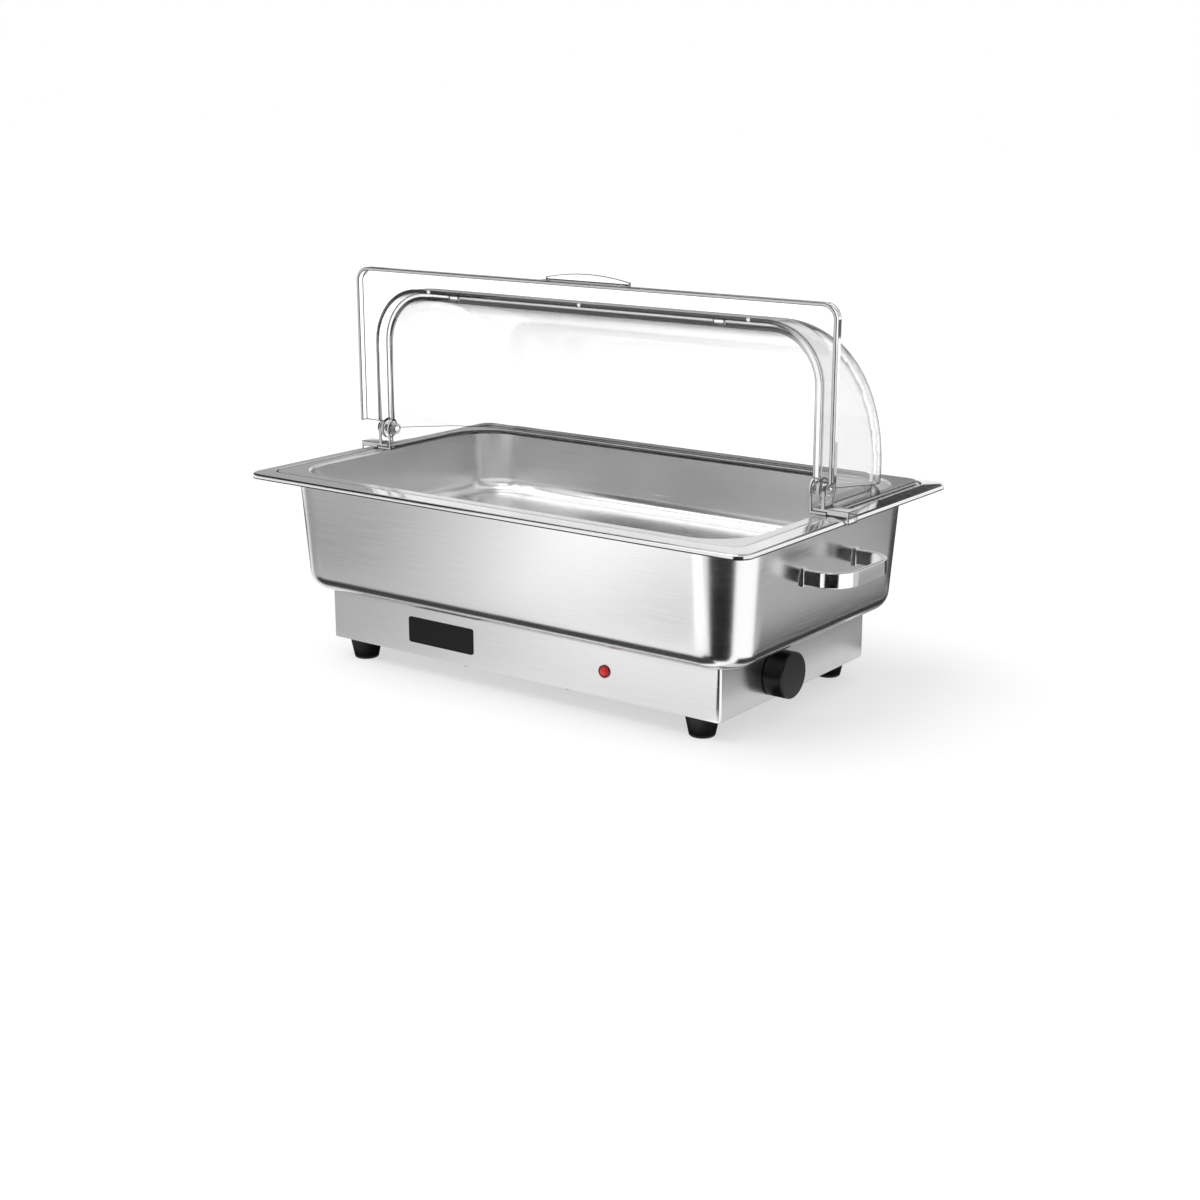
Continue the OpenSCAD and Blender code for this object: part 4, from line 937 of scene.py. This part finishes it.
def screwShape(form, headR, headH, shankR, long, crossed):
    # domed head at the top of Z, shank below it
    dome = headH * form["dome"]
    profile = [(0, -long), (shankR * form["pointR"], -long), (shankR, -long + shankR * form["pointL"])]
    profile += [(shankR, -headH), (headR, -headH), (headR, -dome)]
    profile += [(headR * wide, -dome * down) for wide, down in (form["shoulder"], form["crown"])] + [(0, 0)]
    shape = lathe("screwShape", profile, [zincSteel], form["sides"])
    slot = (headR * form["slotL"] * mm, headR * form["slotW"] * mm, 2 * headH * form["slotDeep"] * mm, 1)
    work = bmesh.new()
    for turn in ((0, 90) if crossed else (0,)):
        made = bmesh.ops.create_cube(work, size=1)["verts"]
        spun = Matrix.Rotation(math.radians(turn), 4, "Z")
        bmesh.ops.transform(work, verts=made, matrix=spun @ Matrix.Diagonal(slot))
    mesh = bpy.data.meshes.new("slot")
    work.to_mesh(mesh)
    work.free()
    cut(shape, addObject("slot", mesh, []), crossing=True)
    return shape


screws = {
    "bottom_screws": {"axis": (0, 0, -1), "headH": 2, "shankR": 2, "body": "base", "crossed": True},
    "foot_screws": {"axis": (0, 0, -1), "headH": 3.5, "shankR": 2.5, "body": "base", "crossed": True},
    "clamp_screws": {"axis": (0, 0, -1), "headH": 2.4, "shankR": 2, "body": "base", "crossed": True},
    "thermostat_screws": {"axis": (1, 0, 0), "headH": 2, "shankR": 2, "body": "base", "crossed": True},
    "bracket_screws": {"axis": (0, 0, 1), "headH": 1.8, "shankR": 1.5, "body": "cover", "crossed": True},
    "terminal_screws": {"axis": (0, 0, 1), "headH": 2, "shankR": 2.2, "body": "base", "crossed": False}}


def makeScrews(node, size):
    boxes = solidBoxes(node)
    axis = Vector(size["axis"])
    along = [abs(c) for c in axis].index(1)
    wide = boxes[0][1] - boxes[0][0]
    headR = wide[(along + 1) % 3] / 2
    shape = screwShape(screwForm, headR, size["headH"], size["shankR"], wide[along], size["crossed"])
    places = []
    for low, high in boxes:
        at = (low + high) / 2
        at[along] = high[along] if axis[along] > 0 else low[along]
        places.append(at)
    finish = brass if node == "terminal_screws" else zincSteel
    spin = math.radians(screwForm["spin"])
    piece = repeatPiece(node.split("_")[0] + "Screws", shape, places, finish, size["axis"], spin)
    place(piece, size["body"], "brass" if finish is brass else "zinc_steel", node)


for node, size in screws.items():
    makeScrews(node, size)
print("fasteners made")


# frame nodes that keep their shape: finish, bevel in millimetres and, on clear sheet, its edges

# a face is tested from its middle and a share of the way in from its corners, just under its skin
paintedCoverEdges = {"face": paintedLitCoverEdge, "line": paintedDarkCoverLine, "deep": 5, "inward": 0.25, "skin": 0.02}
plainNodes = {
    "bottom_plate": (millSteel, 0.2), "foot_nuts": (zincSteel, 0.3), "pilot_lamp_body": (blackAbs, 0.3),
    "lamp_nut": (blackAbs, 0.3), "cord_gland": (blackAbs, 0.5), "gland_nut": (blackAbs, 0.4),
    "terminal_block": (ivoryNylon, 0.4), "heater_plate": (aluminium, 0.3),
    "heating_element": (elementSteel, 0), "element_clamps": (zincSteel, 0.3),
    "thermal_cutout": (blackAbs, 0.25), "insulation_mat": (fibreMat, 0.6),
    "heat_shield": (aluminium, 0.2), "pan_studs": (zincSteel, 0.3), "stud_spacers": (zincSteel, 0.3),
    "stud_nuts": (zincSteel, 0.3), "thermostat_body": (ivoryNylon, 0.6), "thermostat_bulb": (copper, 0.6),
    "capillary_tube": (copper, 0), "bulb_clips": (zincSteel, 0.3), "thermostat_spindle": (zincSteel, 0.2),
    "hinge_pins": (clearPin, 0.5), "pin_caps": (clearPin, 0.3), "hinge_spacers": (clearPin, 0.2),
    "cover_bumpers": (clearPin, 0.3),
    "rear_shell": (clearCover, 0.6, paintedCoverEdges), "front_shell": (clearCover, 0.6, paintedCoverEdges),
    "hinge_bracket_left": (clearCover, 0.5, paintedCoverEdges), "hinge_bracket_right": (clearCover, 0.5, paintedCoverEdges)}
for node, look in plainNodes.items():
    dressNode(node, *look)
print("frame nodes dressed:", len(plainNodes))


# studio: pale floor, soft light from the upper left, white surroundings

studio = {
    "floorHalf": 12, "floorColour": "#BCBCBC", "floorGlow": 0.6, "throughGlow": 0.78, "ambient": 0.5,
    "sun": 1.5, "sunAngle": 55, "sunFrom": (-0.35, -0.3, 0.9), "skyTop": 0.4, "skyStart": 0.38, "skyEnd": 0.8,
    "throughSky": 1.12}


def makeFloor(size):
    half = size["floorHalf"]
    mesh = bpy.data.meshes.new("floor")
    corners = [(-half, -half, 0), (half, -half, 0), (half, half, 0), (-half, half, 0)]
    mesh.from_pydata(corners, [], [(0, 1, 2, 3)])
    paper, tree, shader = newFinish("whitePaperFloor")
    tree.nodes.remove(shader)
    path = addNode(tree, "ShaderNodeLightPath")
    matt = addNode(tree, "ShaderNodeBsdfDiffuse", {"Color": linear(size["floorColour"])})
    # the paper glows a little to the eye, in metal and through glass, but lights nothing
    seen = addNode(tree, "ShaderNodeMath", {
        0: path.outputs["Is Camera Ray"], 1: path.outputs["Is Glossy Ray"]}, operation="MAXIMUM")
    near = addNode(tree, "ShaderNodeMath", {0: seen.outputs[0], 1: size["floorGlow"]}, operation="MULTIPLY")
    level = addNode(tree, "ShaderNodeMix", {
        0: path.outputs["Is Transmission Ray"], 2: near.outputs[0], 3: size["throughGlow"]})
    glowing = addNode(tree, "ShaderNodeEmission", {"Strength": level.outputs[0]})
    both = addNode(tree, "ShaderNodeAddShader", {0: matt.outputs[0], 1: glowing.outputs[0]})
    tree.links.new(both.outputs[0], tree.nodes["Material Output"].inputs["Surface"])
    addObject("floor", mesh, [paper])


def makeWorld(size):
    world = bpy.data.worlds.new("whiteStudio")
    bpy.context.scene.world = world
    world.use_nodes = True
    tree = world.node_tree
    path = addNode(tree, "ShaderNodeLightPath")
    where = addNode(tree, "ShaderNodeTexCoord")
    up = addNode(tree, "ShaderNodeSeparateXYZ", {0: where.outputs["Generated"]})
    # metal sees white round the horizon and a dimmer ceiling; glass shows the white behind it
    sky = addNode(tree, "ShaderNodeMapRange", {
        0: up.outputs[2], 1: size["skyStart"], 2: size["skyEnd"], 3: 1, 4: size["skyTop"]})
    inMetal = addNode(tree, "ShaderNodeMix", {
        0: path.outputs["Is Glossy Ray"], 2: size["ambient"], 3: sky.outputs[0]})
    inGlass = addNode(tree, "ShaderNodeMix", {
        0: path.outputs["Is Transmission Ray"], 2: inMetal.outputs[0], 3: size["throughSky"]})
    white = addNode(tree, "ShaderNodeMix", {0: path.outputs["Is Camera Ray"], 2: inGlass.outputs[0], 3: 1.0})
    tree.links.new(white.outputs[0], tree.nodes["Background"].inputs["Strength"])
    tree.nodes["Background"].inputs["Color"].default_value = (1, 1, 1, 1)


def makeSun(size):
    lamp = bpy.data.lights.new("softKey", "SUN")
    lamp.energy = size["sun"]
    lamp.angle = math.radians(size["sunAngle"])
    key = bpy.data.objects.new("softKey", lamp)
    key.rotation_euler = Vector(size["sunFrom"]).to_track_quat("Z", "Y").to_euler()
    bpy.context.scene.collection.objects.link(key)


# cards that show only in reflections: corners and height in metres, greys at distances in x along the first
# edge, and a fade between two shares of the way across
flatCards = {
    "frontCard": {
        "z": 0.001, "corners": [(-1.66, -1.2), (-0.12, -1.2), (0.354, -0.135), (-1.186, -0.135)],
        "greys": [(0, 0.52), (0.88, 0.5), (1.06, 1.02), (1.13, 1.38), (1.2, 1.39), (1.27, 1.2), (1.36, 0.82),
                  (1.39, 1.7)],
        "fade": {"from": 0.563, "first": 1.17, "to": 0.822, "last": 0.84}},
    "baseCard": {
        "z": 0.0015, "corners": [(-0.5, -0.325), (0.19, -0.325), (0.19, -0.14), (-0.5, -0.14)],
        "greys": [(0, 0.6), (0.175, 0.66), (0.236, 0.72), (0.296, 0.84), (0.357, 0.92), (0.417, 1.07),
                  (0.477, 1.18), (0.538, 1.22), (0.6, 1.2)],
        "fade": {"from": 0.13, "first": 1, "to": 0.62, "last": 0.86}},
    "cornerCard": {
        "z": 0.002, "grey": 0, "corners": [(0.25, -0.19), (0.29, -0.85), (1.05, -0.5), (0.285, -0.16)]},
    "footCard": {"z": 0.0015, "grey": 0, "corners": [(0.19, -0.2), (0.2, -0.3), (0.3, -0.3), (0.3, -0.2)]},
    "sideCard": {
        "z": 0.001, "grey": 1.45, "corners": [(0.285, -0.16), (1.05, -0.5), (1.2, 0.4), (0.29, -0.06)]},
    "rightCard": {
        "z": 0.002, "corners": [(0.29, -0.06), (1.2, 0.4), (1.2, 1.4), (0.29, 1.4)],
        "greys": [(0, 0.5), (0.042, 0.5), (0.05, 0.06), (0.085, 0.06), (0.112, 0.66), (0.17, 0.52),
                  (0.22, 0.62), (0.228, 0.6), (0.236, 0.34), (0.27, 0.34), (0.3, 0.68)]},
    "backCard": {"z": 0.001, "grey": 0.3, "corners": [(-0.8, 0.2), (0.29, 0.2), (0.29, 1.4), (-0.8, 1.4)]},
    "rightBackCard": {
        "z": 0.003, "grey": 0.06, "corners": [(-0.15, 0.37), (0.38, 0.42), (0.58, 0.74), (0.1, 0.95)]},
    "leftBackCard": {
        "z": 0.003, "grey": 0.05, "corners": [(-0.4, 0), (-0.75, -0.02), (-1.2, 0.55), (-0.5, 0.45)]},
    # painted shade: the dark card under the dish and the two dark strips beside the base stand in, seen in
    # the metal, for the shade under and around it
    "underCard": {
        "z": 0.0025, "grey": 0.03,
        "corners": [(-0.24, -0.13), (0.235, -0.13), (0.235, 0.165), (-0.24, 0.165)]},
    "frontStrip": {
        "z": 0.062, "grey": 0.04,
        "corners": [(-0.27, -0.173), (0.235, -0.173), (0.235, -0.147), (-0.27, -0.147)]},
    "rightStrip": {
        "z": 0.062, "grey": 0.04, "corners": [(0.2515, -0.13), (0.273, -0.13), (0.273, 0.2), (0.2515, 0.2)]}}
# dark flags that stand round the dish: two feet, then the two tops
flags = {
    "backFlag": {"grey": 0.06, "feet": [(-1.12, 1.87, 0.95), (1, 1.87, 0.95)],
                 "tops": [(1, 1.87, 2.3), (-1.12, 1.87, 2.3)]},
    "rimFlag": {"grey": 0.04, "feet": [(-0.62, 1.868, 0.66), (-0.3, 1.868, 0.6)],
                "tops": [(-0.3, 1.868, 0.96), (-0.86, 1.868, 0.96)]},
    "cornerFlag": {"grey": 0.02, "feet": [(0.3, -1.1, 0), (1.15, -0.545, 0)],
                   "tops": [(1.15, -0.545, 0.3), (0.3, -1.1, 0.3)]},
    "backLeftFlag": {"grey": 0.42, "feet": [(-1.64, 1.5, 0), (-2.2, 0.4, 0)],
                     "tops": [(-2.2, 0.4, 1.4), (-1.64, 1.5, 1.4)]},
    "leftFlag": {"grey": 0.02, "feet": [(-1.435, 0.384, 0.209), (-0.852, -1.217, 0.209)],
                 "tops": [(-0.364, -0.519, 1.36), (-0.612, 0.164, 1.36)]}}


def makeCard(name, corners, size):
    mesh = bpy.data.meshes.new(name)
    mesh.from_pydata(corners, [], [(0, 1, 2, 3)])
    layer = mesh.uv_layers.new(name="card")
    for loop, uv in zip(layer.data, ((0, 0), (1, 0), (1, 1), (0, 1))):
        loop.uv = uv
    grey, tree, shader = newFinish(name + "Grey")
    tree.nodes.remove(shader)
    where = addNode(tree, "ShaderNodeTexCoord")
    split = addNode(tree, "ShaderNodeSeparateXYZ", {0: where.outputs["UV"]})
    ramp = addNode(tree, "ShaderNodeValToRGB", {0: split.outputs[0]})
    stops = ramp.color_ramp.elements
    stops.remove(stops[1])
    long = corners[1][0] - corners[0][0]
    greys = size["greys"] if "greys" in size else [(0, size["grey"])]
    for i, (at, level) in enumerate(greys):
        stop = stops.new(at / long) if i else stops[0]
        stop.color = (level, level, level, 1)
    shine = addNode(tree, "ShaderNodeEmission", {"Color": ramp.outputs[0]})
    if "fade" in size:
        run = size["fade"]
        fade = addNode(tree, "ShaderNodeMapRange", {
            0: split.outputs[1], 1: run["from"], 2: run["to"], 3: run["first"], 4: run["last"]})
        tree.links.new(fade.outputs[0], shine.inputs["Strength"])
    tree.links.new(shine.outputs[0], tree.nodes["Material Output"].inputs["Surface"])
    card = addObject(name, mesh, [grey])
    for rays in ("camera", "diffuse", "transmission", "shadow"):
        setattr(card, "visible_" + rays, False)


# the eye point in metres, and how far the view looks down and turns to the left, in degrees
productView = {"lens": 57.84, "sensor": 36, "eye": (1.072, -1.438, 0.554), "down": 15.23, "turn": 36.51}


def makeCamera(size):
    view = bpy.data.cameras.new("productView")
    view.lens = size["lens"]
    view.sensor_width = size["sensor"]
    camera = bpy.data.objects.new("productView", view)
    camera.location = size["eye"]
    camera.rotation_euler = (math.radians(90 - size["down"]), 0, math.radians(size["turn"]))
    bpy.context.scene.collection.objects.link(camera)
    bpy.context.scene.camera = camera


makeFloor(studio)
makeWorld(studio)
makeSun(studio)
for name, size in flatCards.items():
    makeCard(name, [(x, y, size["z"]) for x, y in size["corners"]], size)
for name, size in flags.items():
    makeCard(name, size["feet"] + size["tops"], size)
makeCamera(productView)
bpy.context.scene.view_settings.view_transform = "Standard"
print("studio set")

bpy.context.view_layer.update()
